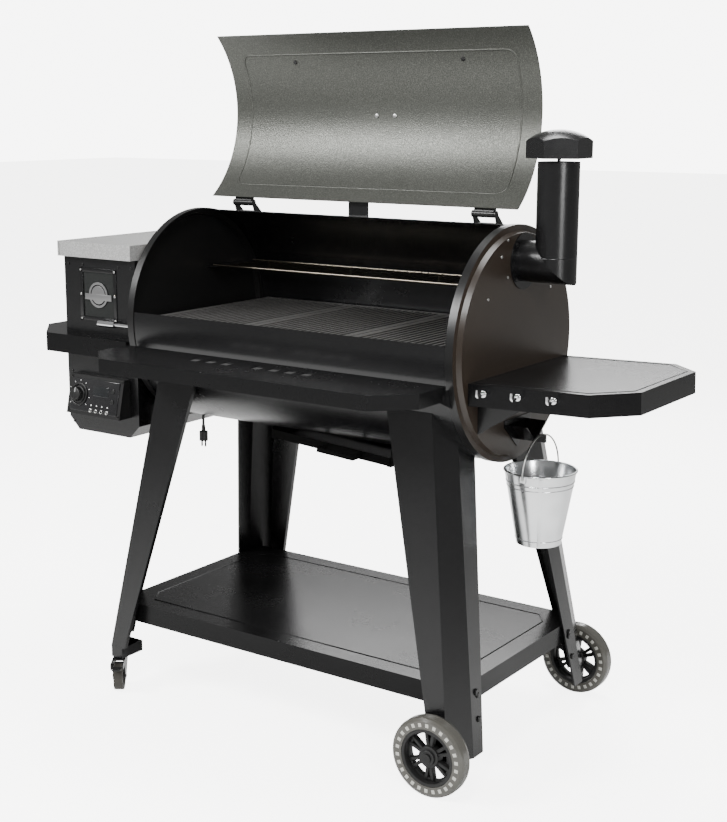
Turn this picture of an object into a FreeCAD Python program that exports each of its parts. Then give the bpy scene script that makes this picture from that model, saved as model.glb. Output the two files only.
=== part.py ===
import FreeCAD, Part
import math
import os
import Sketcher
from FreeCAD import Placement, Rotation, Vector

# Pellet smoker grill on a wheeled frame. Millimetres and degrees, +Z up, +X along the barrel towards
# the chimney, -Y the cook's side. The barrel's axis runs above the point x = 0, y = 0 of the
# drawing, and every sub-part is then moved so that the origin is under the middle of the whole.

DIMENSIONS = {
    # barrel
    "axis_height": 988, "barrel_radius": 278, "barrel_wall": 2, "rim_outer_x": 488, "rim_width": 20,
    "dish_depth": 12, "dish_radius": 266, "opening_rear_angle": 81, "opening_front_angle": 174,
    "seat_gap": 0.3, "running_gap": 0.5,
    # lid
    "lid_half": 466, "lid_wall": 2, "lid_rear_angle": 79, "lid_front_angle": 176, "hinge_y": 55,
    "hinge_rise": 295.5, "lid_swing": 131.5, "hinge_x": 369, "hinge_width": 66, "hinge_leaf": 4,
    "hinge_pin_radius": 4, "knuckle_radius": 8.5, "handle_x": 254, "handle_angle": 160,
    "handle_reach": 52, "handle_radius": 11, "handle_overhang": 34, "stop_width": 60,
    # legs and bottom shelf
    "leg_wall": 2, "leg_top_height": 875, "leg_reference": 845, "leg_inner_x": 294,
    "leg_inner_slope": 0.252, "leg_corner_x": 416, "leg_corner_slope": 0.149, "leg_side_x": 442,
    "leg_side_slope": 0.154, "leg_front_y": 246, "leg_front_slope": 0.132, "leg_chamfer_y": 180,
    "leg_chamfer_slope": 0.128, "leg_side_y": 105, "leg_side_y_slope": 0.169, "leg_return": 12,
    "leg_lip": 5, "right_leg_bottom": 71, "left_leg_bottom": 119, "base_height": 238,
    "base_half_length": 530, "base_half_depth": 300, "base_corner_x": 20, "base_corner_y": 48,
    "base_apron": 50, "sheet": 2,
    # wheels
    "wheel_x": 500, "wheel_y": 367, "wheel_radius": 95, "tyre_width": 38, "hub_radius": 68,
    "hub_boss": 16, "axle_radius": 6, "axle_head": 14, "bearing_gap": 0.08, "bolt_radius": 4,
    "bolt_head": 8, "bolt_drop": 25,
    # casters
    "caster_x": 520, "caster_y": 312, "caster_radius": 37, "caster_width": 24, "caster_trail": 28,
    "front_caster_heading": 306, "rear_caster_heading": 210, "caster_axle": 4, "fork_wall": 3,
    "fork_gap": 2, "fork_top": 87, "stem_radius": 6, "boss_radius": 14, "swivel_gap": 3, "cup_floor": 4,
    "cup_wall": 3, "pedal_half": 9, "pedal_pin": 2.5,
    # shelves
    "front_shelf_top": 932, "front_shelf_half": 478, "front_shelf_rear": 290, "front_shelf_depth": 190,
    "front_apron": 34, "tool_slot": 30, "tool_slot_pitch": 48, "shelf_corner": 82, "pivot_drop": 24,
    "pivot_y": 302, "pivot_radius": 4, "side_shelf_top": 931, "side_shelf_length": 376,
    "side_shelf_half": 232, "side_apron": 50, "side_shelf_tilt": 1.6, "gusset_y": 186,
    "gusset_drop": 70, "gusset_reach": 176, "hook_first_x": 40, "hook_spacing": 86, "hook_reach": 30,
    "hook_wire": 3, "hopper_shelf_top": 936, "hopper_shelf_front": 276, "hopper_shelf_left": 905,
    "hopper_shelf_corner": 112,
    # chimney
    "pipe_radius": 48, "pipe_wall": 2, "chimney_x": 582, "chimney_y": 15, "stub_height": 1183,
    "pipe_top": 1412, "flange_radius": 66, "cap_half": 72, "cap_gap": 8, "cap_band": 24,
    "cap_height": 64, "cap_crown": 34, "rod_radius": 4, "rod_length": 76,
    # inside the barrel
    "grate_top": 1001, "grate_half_depth": 265, "grate_thick": 14, "grate_bar": 7, "grate_pitch": 19,
    "grate_rail": 14, "grate_half_length": 456, "grate_gap": 4, "rack_top": 1112, "rack_front": 50,
    "rack_rear": 228, "rack_half": 478, "rack_wire": 3, "rack_pitch": 22, "rack_rail": 24,
    "ledge_width": 20, "ledge_thick": 2.5, "broiler_z": 930, "broiler_half": 450,
    "broiler_half_depth": 269, "slot_length": 110, "slot_width": 26, "slot_pitch": 60, "plate_wall": 2,
    "slider_half_x": 165, "slider_half_y": 75, "lever_y": 248, "lever_z": 972, "lever_radius": 5,
    "grip_radius": 9, "grip_length": 58, "lever_end_x": 622, "pot_radius": 62, "pot_top": 868,
    "pot_floor": 772, "pot_foot": 722, "pot_wall": 3, "auger_z": 812, "auger_radius": 24,
    "auger_shaft": 7, "auger_pitch": 44, "auger_blade": 3, "tube_radius": 28, "tube_wall": 2,
    "tube_end_x": 700, "igniter_radius": 4, "igniter_length": 90, "igniter_z": 779.6,
    # hopper
    "hopper_width": 258, "hopper_front": 235, "hopper_rear": 205, "hopper_bottom": 669,
    "hopper_shoulder": 1141, "hopper_top": 1180, "hopper_inset": 5, "hopper_corner": 34,
    "hopper_lid_height": 40, "lid_side_overhang": 8, "lid_front_overhang": 16, "hopper_wall": 1.5,
    "hopper_floor": 905, "throat_half": 30, "throat_x": 640, "hinge_line_y": 214.5,
    "hinge_line_z": 1140, "pin_wire": 3, "knuckle": 6, "window_x": 634, "window_width": 134,
    "window_bottom": 974, "window_height": 141, "glass": 4, "bezel_lap": 9, "panel_x": 628,
    "panel_width": 196, "panel_bottom": 724, "panel_height": 104, "panel_depth_top": 20,
    "panel_depth_bottom": 44, "knob_radius": 23, "knob_depth": 20, "knob_inset": 41, "motor_radius": 26,
    "motor_length": 46, "fan_x": 600, "fan_z": 745, "fan_radius": 42, "fan_depth": 22, "fan_shaft": 4,
    # grease, bucket and ash drawer
    "chute_half": 50, "chute_depth": 42, "chute_top": 804, "chute_reach": 52, "chute_inner": 110,
    "hanger_notch": 3, "bucket_x": 566, "bucket_rim_z": 697, "bucket_height": 178,
    "bucket_top_radius": 85, "bucket_base_radius": 53, "bucket_wall": 1.5, "bucket_bead": 2.5,
    "bail_wire": 2, "bail_radius": 91, "ear_drop": 8, "ear_half": 7, "drawer_x": -5, "drawer_half": 186,
    "drawer_front": 62, "drawer_rear": 100, "drawer_height": 22, "drawer_top": 694, "drawer_tilt": 3.9,
    "drawer_wall": 1.5, "runner_wall": 2, "runner_lip": 10, "pull_half": 56, "pull_reach": 40,
    # cord
    "cord_radius": 3.75, "coil_radius": 44, "coil_bundle": 11.6, "coil_x": 625, "coil_z": 758,
    "coil_stand_off": 12.5, "hanger_radius": 5, "gland_radius": 9, "plug_radius": 12, "plug_length": 26,
    "boot_radius": 6, "boot_length": 18, "prong_length": 17,
}


class Size:
    """A number from the sheet, or worked out from it, with the formula that gives it."""

    def __init__(self, number, text):
        self.number = float(number)
        self.text = text

    def __float__(self):
        return self.number

    def __add__(self, other):
        return joined(self, "+", other, self.number + float(other))

    def __radd__(self, other):
        return joined(other, "+", self, float(other) + self.number)

    def __sub__(self, other):
        return joined(self, "-", other, self.number - float(other))

    def __rsub__(self, other):
        return joined(other, "-", self, float(other) - self.number)

    def __mul__(self, other):
        return joined(self, "*", other, self.number * float(other))

    def __rmul__(self, other):
        return joined(other, "*", self, float(other) * self.number)

    def __truediv__(self, other):
        return joined(self, "/", other, self.number / float(other))

    def __neg__(self):
        return Size(-self.number, f"(0 - {self.text})")


def text_of(value):
    return value.text if isinstance(value, Size) else f"({value!r})"


def joined(left, sign, right, number):
    return Size(number, f"({text_of(left)} {sign} {text_of(right)})")


def cosine(angle):
    return Size(math.cos(math.radians(float(angle))), f"cos({text_of(angle)})")


def sine(angle):
    return Size(math.sin(math.radians(float(angle))), f"sin({text_of(angle)})")


def square_root(value):
    return Size(math.sqrt(float(value)), f"sqrt({text_of(value)})")


def vector(x, y, z):
    return Vector(float(x), float(y), float(z))


doc = FreeCAD.newDocument("pellet_smoker_grill")
sheet = doc.addObject("Spreadsheet::Sheet", "sizes")


def fill_sheet():
    """Write each dimension into a cell of its own, and return them by name."""
    sizes = {}
    for row, (name, value) in enumerate(DIMENSIONS.items(), start=1):
        sheet.set(f"A{row}", name)
        sheet.set(f"B{row}", str(value))
        sheet.setAlias(f"B{row}", name)
    doc.recompute()
    for name in DIMENSIONS:
        sizes[name] = Size(getattr(sheet, name), "sizes." + name)
    return sizes


d = fill_sheet()

# Distances that several sub-parts share.
rim_inner_x = d["rim_outer_x"] - d["rim_width"]
cap_face = d["rim_outer_x"] + d["dish_depth"]
cap_radius = d["barrel_radius"] + d["barrel_wall"]
shell_inner = d["barrel_radius"] - d["barrel_wall"]
hopper_right = cap_face + d["seat_gap"]
hopper_left = hopper_right + d["hopper_width"]
tilt = d["side_shelf_tilt"]
far_right = cap_face + d["seat_gap"] + d["side_shelf_length"] * cosine(tilt) + d["side_apron"] * sine(tilt)
far_front = d["front_shelf_rear"] + d["front_shelf_depth"]
far_rear = d["wheel_y"] + d["tyre_width"] / 2 + 3
middle_x = (far_right - d["hopper_shelf_left"]) / 2
middle_y = (far_rear - far_front) / 2


# ---------------------------------------------------------------- drawing helpers

parts = []
AXES = {"X": Vector(1, 0, 0), "Y": Vector(0, 1, 0), "Z": Vector(0, 0, 1)}


def bind(thing, name, value):
    """Give a property its number and, where the number comes from the sheet, its formula."""
    if isinstance(value, Size):
        thing.setExpression(name, value.text)
    else:
        setattr(thing, name, value)


def place(thing, x=0, y=0, z=0, rotation=None):
    """Put an object at a point of the drawing."""
    thing.Placement = Placement(vector(x, y, z), rotation or Rotation())
    for letter, value in (("x", x), ("y", y), ("z", z)):
        if isinstance(value, Size):
            thing.setExpression(f"Placement.Base.{letter}", value.text)


def keep(thing, label, x=0, y=0, z=0, rotation=None):
    """Name a finished sub-part and move it to its place about the origin."""
    place(thing, x - middle_x, y - middle_y, z, rotation)
    thing.Label = label
    parts.append(thing)
    return thing


def keep_turned(thing, label, axis, angle, pivot, shift=(0, 0, 0)):
    """Keep a sub-part turned about an axis line through a point of its own drawing, and moved."""
    x, y, z = pivot
    c, s = cosine(angle), sine(angle)
    landed = {
        "X": (x, y * c - z * s, y * s + z * c),
        "Y": (x * c + z * s, y, z * c - x * s),
        "Z": (x * c - y * s, x * s + y * c, z),
    }[axis]
    base = [p - q + r for p, q, r in zip(pivot, landed, shift)]
    turn = Rotation(AXES[axis], float(angle))
    keep(thing, label, *base, rotation=turn)
    if isinstance(angle, Size):
        thing.setExpression("Placement.Rotation.Angle", angle.text)
    return thing


def body(name):
    return doc.addObject("PartDesign::Body", name)


def sketch_on(part, role, offset=0):
    """An empty sketch on one of the body's own planes, moved along that plane's normal."""
    plane = next(f for f in part.Origin.OriginFeatures if f.Role == role)
    sketch = part.newObject("Sketcher::SketchObject", "outline")
    sketch.AttachmentSupport = (plane, [""])
    sketch.MapMode = "FlatFace"
    if isinstance(offset, Size):
        sketch.setExpression("AttachmentOffset.Base.z", offset.text)
    elif offset:
        sketch.AttachmentOffset = Placement(Vector(0, 0, offset), Rotation())
    return sketch


def pin_point(sketch, geometry, end, u, v):
    """Hold one point of the sketch at (u, v)."""
    for kind, value in (("DistanceX", u), ("DistanceY", v)):
        index = sketch.addConstraint(Sketcher.Constraint(kind, -1, 1, geometry, end, float(value)))
        if isinstance(value, Size):
            sketch.setExpression(f"Constraints[{index}]", value.text)


def polygon(sketch, points):
    first = sketch.GeometryCount
    count = len(points)
    for i, (u, v) in enumerate(points):
        after = points[(i + 1) % count]
        line = Part.LineSegment(vector(u, v, 0), vector(after[0], after[1], 0))
        sketch.addGeometry(line, False)
    for i, (u, v) in enumerate(points):
        sketch.addConstraint(Sketcher.Constraint("Coincident", first + i, 2, first + (i + 1) % count, 1))
        pin_point(sketch, first + i, 1, u, v)
    return sketch


def rectangle(sketch, u1, v1, u2, v2):
    return polygon(sketch, [(u1, v1), (u2, v1), (u2, v2), (u1, v2)])


def circle(sketch, u, v, radius):
    index = sketch.addGeometry(Part.Circle(vector(u, v, 0), Vector(0, 0, 1), float(radius)), False)
    pin_point(sketch, index, 3, u, v)
    hold = sketch.addConstraint(Sketcher.Constraint("Radius", index, float(radius)))
    if isinstance(radius, Size):
        sketch.setExpression(f"Constraints[{hold}]", radius.text)
    return sketch


def sector(sketch, inner, outer, start, end):
    """A curved strip about the sketch's origin, between two angles."""
    first = sketch.GeometryCount
    ends = [math.radians(float(a)) for a in (start, end)]
    for radius in (inner, outer):
        ring = Part.Circle(Vector(), Vector(0, 0, 1), float(radius))
        sketch.addGeometry(Part.ArcOfCircle(ring, *ends), False)
    for angle in (start, end):
        reach = [vector(r * cosine(angle), r * sine(angle), 0) for r in (inner, outer)]
        sketch.addGeometry(Part.LineSegment(*reach), False)
    for i, angle in ((0, start), (1, end)):
        sketch.addConstraint(Sketcher.Constraint("Coincident", first + 2 + i, 1, first, 1 + i))
        sketch.addConstraint(Sketcher.Constraint("Coincident", first + 2 + i, 2, first + 1, 1 + i))
        pin_point(sketch, first + 2 + i, 1, inner * cosine(angle), inner * sine(angle))
        pin_point(sketch, first + 2 + i, 2, outer * cosine(angle), outer * sine(angle))
    for i in (0, 1):
        sketch.addConstraint(Sketcher.Constraint("DistanceX", -1, 1, first + i, 3, 0.0))
    return sketch


def pad(part, sketch, length, kind="PartDesign::Pad", side="One side", reverse=False):
    feature = part.newObject(kind, "pad")
    feature.Profile = sketch
    bind(feature, "Length", length)
    feature.SideType = side
    feature.Reversed = reverse
    sketch.Visibility = False
    return feature


def pocket(part, sketch, length=None, side="Symmetric", reverse=False):
    """Cut the sketch out of the body: right through it, or to a depth."""
    feature = pad(part, sketch, length if length is not None else 10, "PartDesign::Pocket", side, reverse)
    if length is None:
        feature.Type = "ThroughAll"
        feature.Type2 = "ThroughAll"
    return feature


def turned(part, role, points, axis, angle=360):
    """A solid of revolution from an outline on a plane, about the sketch's H or V axis."""
    sketch = polygon(sketch_on(part, role), points)
    feature = part.newObject("PartDesign::Revolution", "turned")
    feature.Profile = sketch
    feature.ReferenceAxis = (sketch, [axis])
    bind(feature, "Angle", angle)
    return feature


def lofted(part, lower, upper, kind="PartDesign::AdditiveLoft"):
    feature = part.newObject(kind, "loft")
    feature.Profile = lower
    feature.Sections = [upper]
    feature.Ruled = True
    return feature


def repeated(part, feature, direction, length, count):
    """Repeat a feature along one of the body's axes."""
    pattern = part.newObject("PartDesign::LinearPattern", "row")
    pattern.Originals = [feature]
    axis = next(f for f in part.Origin.OriginFeatures if f.Role == direction)
    pattern.Direction = (axis, [""])
    bind(pattern, "Length", length)
    pattern.Occurrences = count
    part.Tip = pattern
    return pattern


ALONG = {"X": Rotation(Vector(0, 1, 0), 90), "Y": Rotation(Vector(1, 0, 0), -90), "Z": Rotation()}


def rod(radius, length, x=0, y=0, z=0, axis="Z"):
    """A cylinder that starts at a point and runs along +X, +Y or +Z."""
    cylinder = doc.addObject("Part::Cylinder", "rod")
    bind(cylinder, "Radius", radius)
    bind(cylinder, "Height", length)
    place(cylinder, x, y, z, ALONG[axis])
    return cylinder


def block(length, width, height, x=0, y=0, z=0):
    box = doc.addObject("Part::Box", "block")
    for name, value in (("Length", length), ("Width", width), ("Height", height)):
        bind(box, name, value)
    place(box, x, y, z)
    return box


def fused(*shapes):
    union = doc.addObject("Part::MultiFuse", "joined")
    union.Shapes = list(shapes)
    return union


def cut(base, tool):
    result = doc.addObject("Part::Cut", "cut")
    result.Base = base
    result.Tool = tool
    return result


def group(*shapes):
    compound = doc.addObject("Part::Compound", "group")
    compound.Links = list(shapes)
    return compound


def shaped(name, shape):
    feature = doc.addObject("Part::Feature", name)
    feature.Shape = Part.makeCompound([shape])
    return feature


def bar(start, end, radius):
    """A plain round bar between two points, as a shape."""
    a, b = vector(*start), vector(*end)
    return Part.makeCylinder(float(radius), (b - a).Length, a, b - a)


def rounded_route(points, radii):
    """Straight runs between the points, joined by arcs that are tangent to them."""
    spots = [vector(*p) for p in points]
    edges, at = [], spots[0]
    for before, corner, after, radius in zip(spots, spots[1:], spots[2:], radii):
        back = (before - corner).normalize()
        ahead = (after - corner).normalize()
        half = back.getAngle(ahead) / 2
        reach = radius / math.tan(half)
        enter, leave = corner + back * reach, corner + ahead * reach
        middle = corner + (back + ahead).normalize() * (radius / math.sin(half) - radius)
        edges.append(Part.LineSegment(at, enter).toShape())
        edges.append(Part.Arc(enter, middle, leave).toShape())
        at = leave
    edges.append(Part.LineSegment(at, spots[-1]).toShape())
    return Part.Wire(edges)


def swept(route, radius):
    """A round section swept along a smooth route."""
    start = route.Edges[0]
    along = start.tangentAt(start.FirstParameter)
    ring = Part.Wire(Part.makeCircle(float(radius), start.valueAt(start.FirstParameter), along))
    return route.makePipeShell([ring], True, False)


# ---------------------------------------------------------------- barrel and lid


def barrel_shell():
    """The open-fronted drum, with the ledges that the grates lie on and the stop for the open lid."""
    part = body("shell")
    length = 2 * (d["rim_outer_x"] - d["barrel_wall"] - d["seat_gap"])
    strip = sector(sketch_on(part, "YZ_Plane"), shell_inner, d["barrel_radius"],
                   d["opening_front_angle"], d["opening_rear_angle"] + 360)
    pad(part, strip, length, side="Symmetric")
    ledge_top = d["grate_top"] - d["grate_thick"] - d["seat_gap"] - d["axis_height"]
    for side in (-1, 1):
        inner = side * (shell_inner - d["ledge_width"])
        ledge = rectangle(sketch_on(part, "YZ_Plane"), inner, ledge_top - d["ledge_thick"],
                          side * (shell_inner + d["barrel_wall"] / 2), ledge_top)
        pad(part, ledge, 2 * d["grate_half_length"], side="Symmetric")
    # the stop's top edge stands just under the open lid
    swing = d["lid_swing"]
    lid_centre_y = d["hinge_y"] - d["hinge_y"] * cosine(swing) - d["hinge_rise"] * sine(swing)
    lid_centre_z = d["hinge_rise"] + d["hinge_y"] * sine(swing) - d["hinge_rise"] * cosine(swing)
    lid_outer = d["barrel_radius"] + d["running_gap"] + d["lid_wall"]
    near, far = d["hinge_y"] + 3, d["hinge_y"] + 6
    reach = near - lid_centre_y
    top = lid_centre_z - square_root(lid_outer * lid_outer - reach * reach) - d["running_gap"]
    foot = square_root(d["barrel_radius"] * d["barrel_radius"] - far * far) - 1
    stop = rectangle(sketch_on(part, "YZ_Plane"), near, foot, far, top)
    pad(part, stop, d["stop_width"], side="Symmetric")
    ash = rectangle(sketch_on(part, "XY_Plane"), -40, -22, 40, 22)
    pocket(part, ash)
    keep(part, "barrel_shell", z=d["axis_height"])


def cap_blank(side):
    """A spun end cap: a rim over the drum's end, a step, and a flat face standing out."""
    part = body("cap")
    wall = d["barrel_wall"]
    outline = [
        (rim_inner_x, d["barrel_radius"]), (rim_inner_x, cap_radius), (d["rim_outer_x"], cap_radius),
        (d["rim_outer_x"], d["dish_radius"]), (cap_face, d["dish_radius"] - 5),
        (cap_face, 0), (cap_face - wall, 0), (cap_face - wall, d["dish_radius"] - wall - 5),
        (d["rim_outer_x"] - wall, d["dish_radius"] - wall), (d["rim_outer_x"] - wall, d["barrel_radius"]),
    ]
    turned(part, "XY_Plane", [(side * x, r) for x, r in outline], "H_Axis")
    return part


def right_end_cap():
    part = cap_blank(1)
    height = d["axis_height"]
    openings = sketch_on(part, "YZ_Plane")
    circle(openings, d["chimney_y"], d["stub_height"] - height, d["pipe_radius"] - d["pipe_wall"])
    pocket(part, openings)
    gap = 1
    trough = polygon(sketch_on(part, "YZ_Plane"), [
        (-d["chute_half"] - 3 * gap, d["chute_top"] + gap - height),
        (0, d["chute_top"] - d["chute_depth"] - 2 * gap - height),
        (d["chute_half"] + 3 * gap, d["chute_top"] + gap - height),
    ])
    pocket(part, trough)
    rack_bracket(part, 1)
    keep(part, "right_end_cap", z=height)


def left_end_cap():
    part = cap_blank(-1)
    height = d["axis_height"]
    openings = sketch_on(part, "YZ_Plane")
    circle(openings, 0, d["auger_z"] - height, d["tube_radius"] + d["seat_gap"])
    circle(openings, -d["lever_y"], d["lever_z"] - height, d["lever_radius"] + d["running_gap"])
    pocket(part, openings)
    rack_bracket(part, -1)
    keep(part, "left_end_cap", z=height)


def rack_bracket(part, side):
    """The welded shelf inside the cap that one end of the upper rack lies on."""
    top = d["rack_top"] - 2 * d["rack_wire"] - d["seat_gap"] - d["axis_height"]
    outer = cap_face - d["barrel_wall"] / 2
    sketch = rectangle(sketch_on(part, "XZ_Plane", -d["rack_rear"] + 20), side * (d["rack_half"] - 14),
                       top - d["ledge_thick"], side * outer, top)
    pad(part, sketch, d["rack_rear"] - d["rack_front"] - 20)


def lid():
    part = body("lid")
    inner = d["barrel_radius"] + d["running_gap"]
    strip = sector(sketch_on(part, "YZ_Plane"), inner, inner + d["lid_wall"], d["lid_rear_angle"],
                   d["lid_front_angle"])
    pad(part, strip, 2 * d["lid_half"], side="Symmetric")
    keep_lid_piece(part, "lid")


def keep_lid_piece(thing, label):
    """Pieces drawn on the closed lid are kept on the lid standing open."""
    keep_turned(thing, label, "X", -d["lid_swing"], (0, d["hinge_y"], d["hinge_rise"]),
                (0, 0, d["axis_height"]))


lid_outer_radius = d["barrel_radius"] + d["running_gap"] + d["lid_wall"]


def lid_handle():
    """A round bar held off the lid by two posts."""
    angle = d["handle_angle"]
    foot = lid_outer_radius + d["seat_gap"]
    tip = lid_outer_radius + d["handle_reach"]
    posts = []
    for side in (-1, 1):
        x = side * d["handle_x"]
        start = (x, foot * cosine(angle), foot * sine(angle))
        end = (x, tip * cosine(angle), tip * sine(angle))
        posts.append(bar(start, end, d["handle_radius"] * 0.7))
        seat = (x, (foot + 4) * cosine(angle), (foot + 4) * sine(angle))
        posts.append(bar(start, seat, d["handle_radius"] * 1.3))
    half = d["handle_x"] + d["handle_overhang"]
    across = [(sign * half, tip * cosine(angle), tip * sine(angle)) for sign in (-1, 1)]
    grip = bar(*across, d["handle_radius"])
    drum = Part.makeCylinder(float(foot), 2 * float(half), vector(-half, 0, 0), Vector(1, 0, 0))
    shape = grip.fuse(posts).cut(drum).removeSplitter()
    keep_lid_piece(shaped("handle", shape), "lid_handle")


# ---------------------------------------------------------------- shapes for folded and welded pieces


def box_shape(x1, x2, y1, y2, z1, z2):
    """A box between two corners given in either order."""
    low = [min(float(a), float(b)) for a, b in ((x1, x2), (y1, y2), (z1, z2))]
    high = [max(float(a), float(b)) for a, b in ((x1, x2), (y1, y2), (z1, z2))]
    return Part.makeBox(*[b - a for a, b in zip(low, high)], Vector(*low))


def prism(axis, start, end, points):
    """A flat outline in the other two axes, drawn out along one axis."""
    start, end = float(start), float(end)
    spots = {
        "X": lambda u, v: vector(start, u, v),
        "Y": lambda u, v: vector(u, start, v),
        "Z": lambda u, v: vector(u, v, start),
    }[axis]
    ring = [spots(u, v) for u, v in points]
    return Part.Face(Part.makePolygon(ring + ring[:1])).extrude(AXES[axis] * (end - start))


def round_shape(axis, radius, start, end, u=0, v=0):
    """A cylinder along one axis, centred at (u, v) in the other two."""
    start, end = sorted((float(start), float(end)))
    at = {"X": (start, u, v), "Y": (u, start, v), "Z": (u, v, start)}[axis]
    return Part.makeCylinder(float(radius), end - start, vector(*at), AXES[axis])


def joined_shape(*shapes):
    return shapes[0].fuse(list(shapes[1:])).removeSplitter()


def with_holes(shape, *tools):
    for tool in tools:
        shape = shape.cut(tool)
    return shape


def corner_cut(half_x, half_y, cut_x, cut_y):
    """A rectangle about the middle with its four corners cut off."""
    ring = []
    for sx, sy, first in ((1, 1, True), (-1, 1, False), (-1, -1, True), (1, -1, False)):
        one = (sx * half_x, sy * (half_y - cut_y))
        two = (sx * (half_x - cut_x), sy * half_y)
        ring += [one, two] if first else [two, one]
    return ring


def drum(gap, radius=d["barrel_radius"], half=700):
    """The room the barrel takes up, for cutting pieces that fit against it."""
    return round_shape("X", radius + gap, -half, half, 0, d["axis_height"])


# ---------------------------------------------------------------- lid hinges

hinge_offsets = (-d["hinge_x"], d["hinge_x"])
ear_inner = d["hinge_width"] / 2 - 5


def barrel_hinge_brackets():
    """On the drum, two ears either side of each hinge, on a curved foot, with the pin between them."""
    y, z = d["hinge_y"], d["hinge_rise"]
    lift = d["barrel_radius"] + d["seat_gap"]
    near = (y - d["knuckle_radius"] * 0.4, z)
    rear = (y + d["knuckle_radius"] * 0.8, z)
    feet = [(lift * 0.98 * cosine(a), lift * 0.98 * sine(a)) for a in (66, 76.5)]
    brackets = []
    for x in hinge_offsets:
        foot = prism("X", x - d["hinge_width"] / 2, x + d["hinge_width"] / 2, [
            feet[0], ((lift + d["hinge_leaf"]) * cosine(66), (lift + d["hinge_leaf"]) * sine(66)),
            ((lift + d["hinge_leaf"]) * cosine(76.5), (lift + d["hinge_leaf"]) * sine(76.5)), feet[1],
        ])
        ears = []
        for side in (-1, 1):
            inside, outside = x + side * ear_inner, x + side * d["hinge_width"] / 2
            ears.append(prism("X", inside, outside, [feet[0], rear, near, feet[1]]))
            ears.append(round_shape("X", d["knuckle_radius"], inside, outside, y, z))
        pin = round_shape("X", d["hinge_pin_radius"], x - d["hinge_width"] / 2, x + d["hinge_width"] / 2, y, z)
        seat = round_shape("X", lift, x - 40, x + 40)
        brackets.append(joined_shape(with_holes(joined_shape(foot, *ears), seat), pin))
    keep(shaped("brackets", Part.makeCompound(brackets)), "barrel_hinge_brackets", z=d["axis_height"])


def lid_hinge_straps():
    """On the lid, a strap that reaches round each pin."""
    y, z = d["hinge_y"], d["hinge_rise"]
    half = ear_inner - 1
    lift = lid_outer_radius + d["seat_gap"]
    top = lift + d["hinge_leaf"]
    arc = [(r * cosine(a), r * sine(a)) for a, r in ((92, lift * 0.99), (92, top), (87, top), (84.5, top))]
    tip = d["knuckle_radius"]
    outline = arc + [(y - tip * 0.4, z + tip * 0.85), (y, z - tip * 0.9), (y - 14, z - 14.5)]
    straps = []
    for x in hinge_offsets:
        plate = prism("X", x - half, x + half, outline)
        knuckle = round_shape("X", tip, x - half, x + half, y, z)
        bore = round_shape("X", d["hinge_pin_radius"] + d["bearing_gap"], x - half, x + half, y, z)
        straps.append(with_holes(joined_shape(plate, knuckle), round_shape("X", lift, x - 40, x + 40), bore))
    keep_lid_piece(shaped("straps", Part.makeCompound(straps)), "lid_hinge_straps")


# ---------------------------------------------------------------- frame


def leg(label, end, front, foot):
    """A folded sheet leg that spreads as it goes down, with its top cut to the drum."""
    part = body("leg")
    wall, back, lip = d["leg_wall"], d["leg_return"], d["leg_lip"]

    def outline(height):
        drop = d["leg_reference"] - height
        ax = d["leg_inner_x"] + d["leg_inner_slope"] * drop
        bx = d["leg_corner_x"] + d["leg_corner_slope"] * drop
        cx = d["leg_side_x"] + d["leg_side_slope"] * drop
        fy = d["leg_front_y"] + d["leg_front_slope"] * drop
        cy = d["leg_chamfer_y"] + d["leg_chamfer_slope"] * drop
        dy = d["leg_side_y"] + d["leg_side_y_slope"] * drop
        points = [
            (ax, fy - back), (ax, fy), (bx, fy), (cx, cy), (cx, dy), (cx - lip, dy),
            (cx - lip, dy + wall), (cx - wall, dy + wall), (cx - wall, cy - wall * 0.19),
            (bx - wall * 0.68, fy - wall), (ax + wall, fy - wall), (ax + wall, fy - back),
        ]
        return polygon(sketch_on(part, "XY_Plane", height), [(end * x, front * y) for x, y in points])

    lofted(part, outline(foot), outline(d["leg_top_height"]))
    round_top = circle(sketch_on(part, "YZ_Plane"), 0, d["axis_height"], d["barrel_radius"] + d["seat_gap"])
    pocket(part, round_top)
    keep(part, label)


def legs():
    leg("front_right_leg", 1, -1, d["right_leg_bottom"])
    leg("front_left_leg", -1, -1, d["left_leg_bottom"])
    leg("rear_right_leg", 1, 1, d["right_leg_bottom"])
    leg("rear_left_leg", -1, 1, d["left_leg_bottom"])


def bottom_shelf():
    """A tray folded down at its edges, standing between the legs."""
    part = body("shelf")
    wall = d["sheet"]
    low = d["base_height"] - d["base_apron"]
    outside = corner_cut(d["base_half_length"], d["base_half_depth"], d["base_corner_x"], d["base_corner_y"])
    pad(part, polygon(sketch_on(part, "XY_Plane", low), outside), d["base_apron"])
    inside = corner_cut(d["base_half_length"] - wall, d["base_half_depth"] - wall, d["base_corner_x"],
                        d["base_corner_y"])
    hollow = polygon(sketch_on(part, "XY_Plane", low), inside)
    pocket(part, hollow, d["base_apron"] - wall, "One side", True)
    keep(part, "bottom_shelf")


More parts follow.
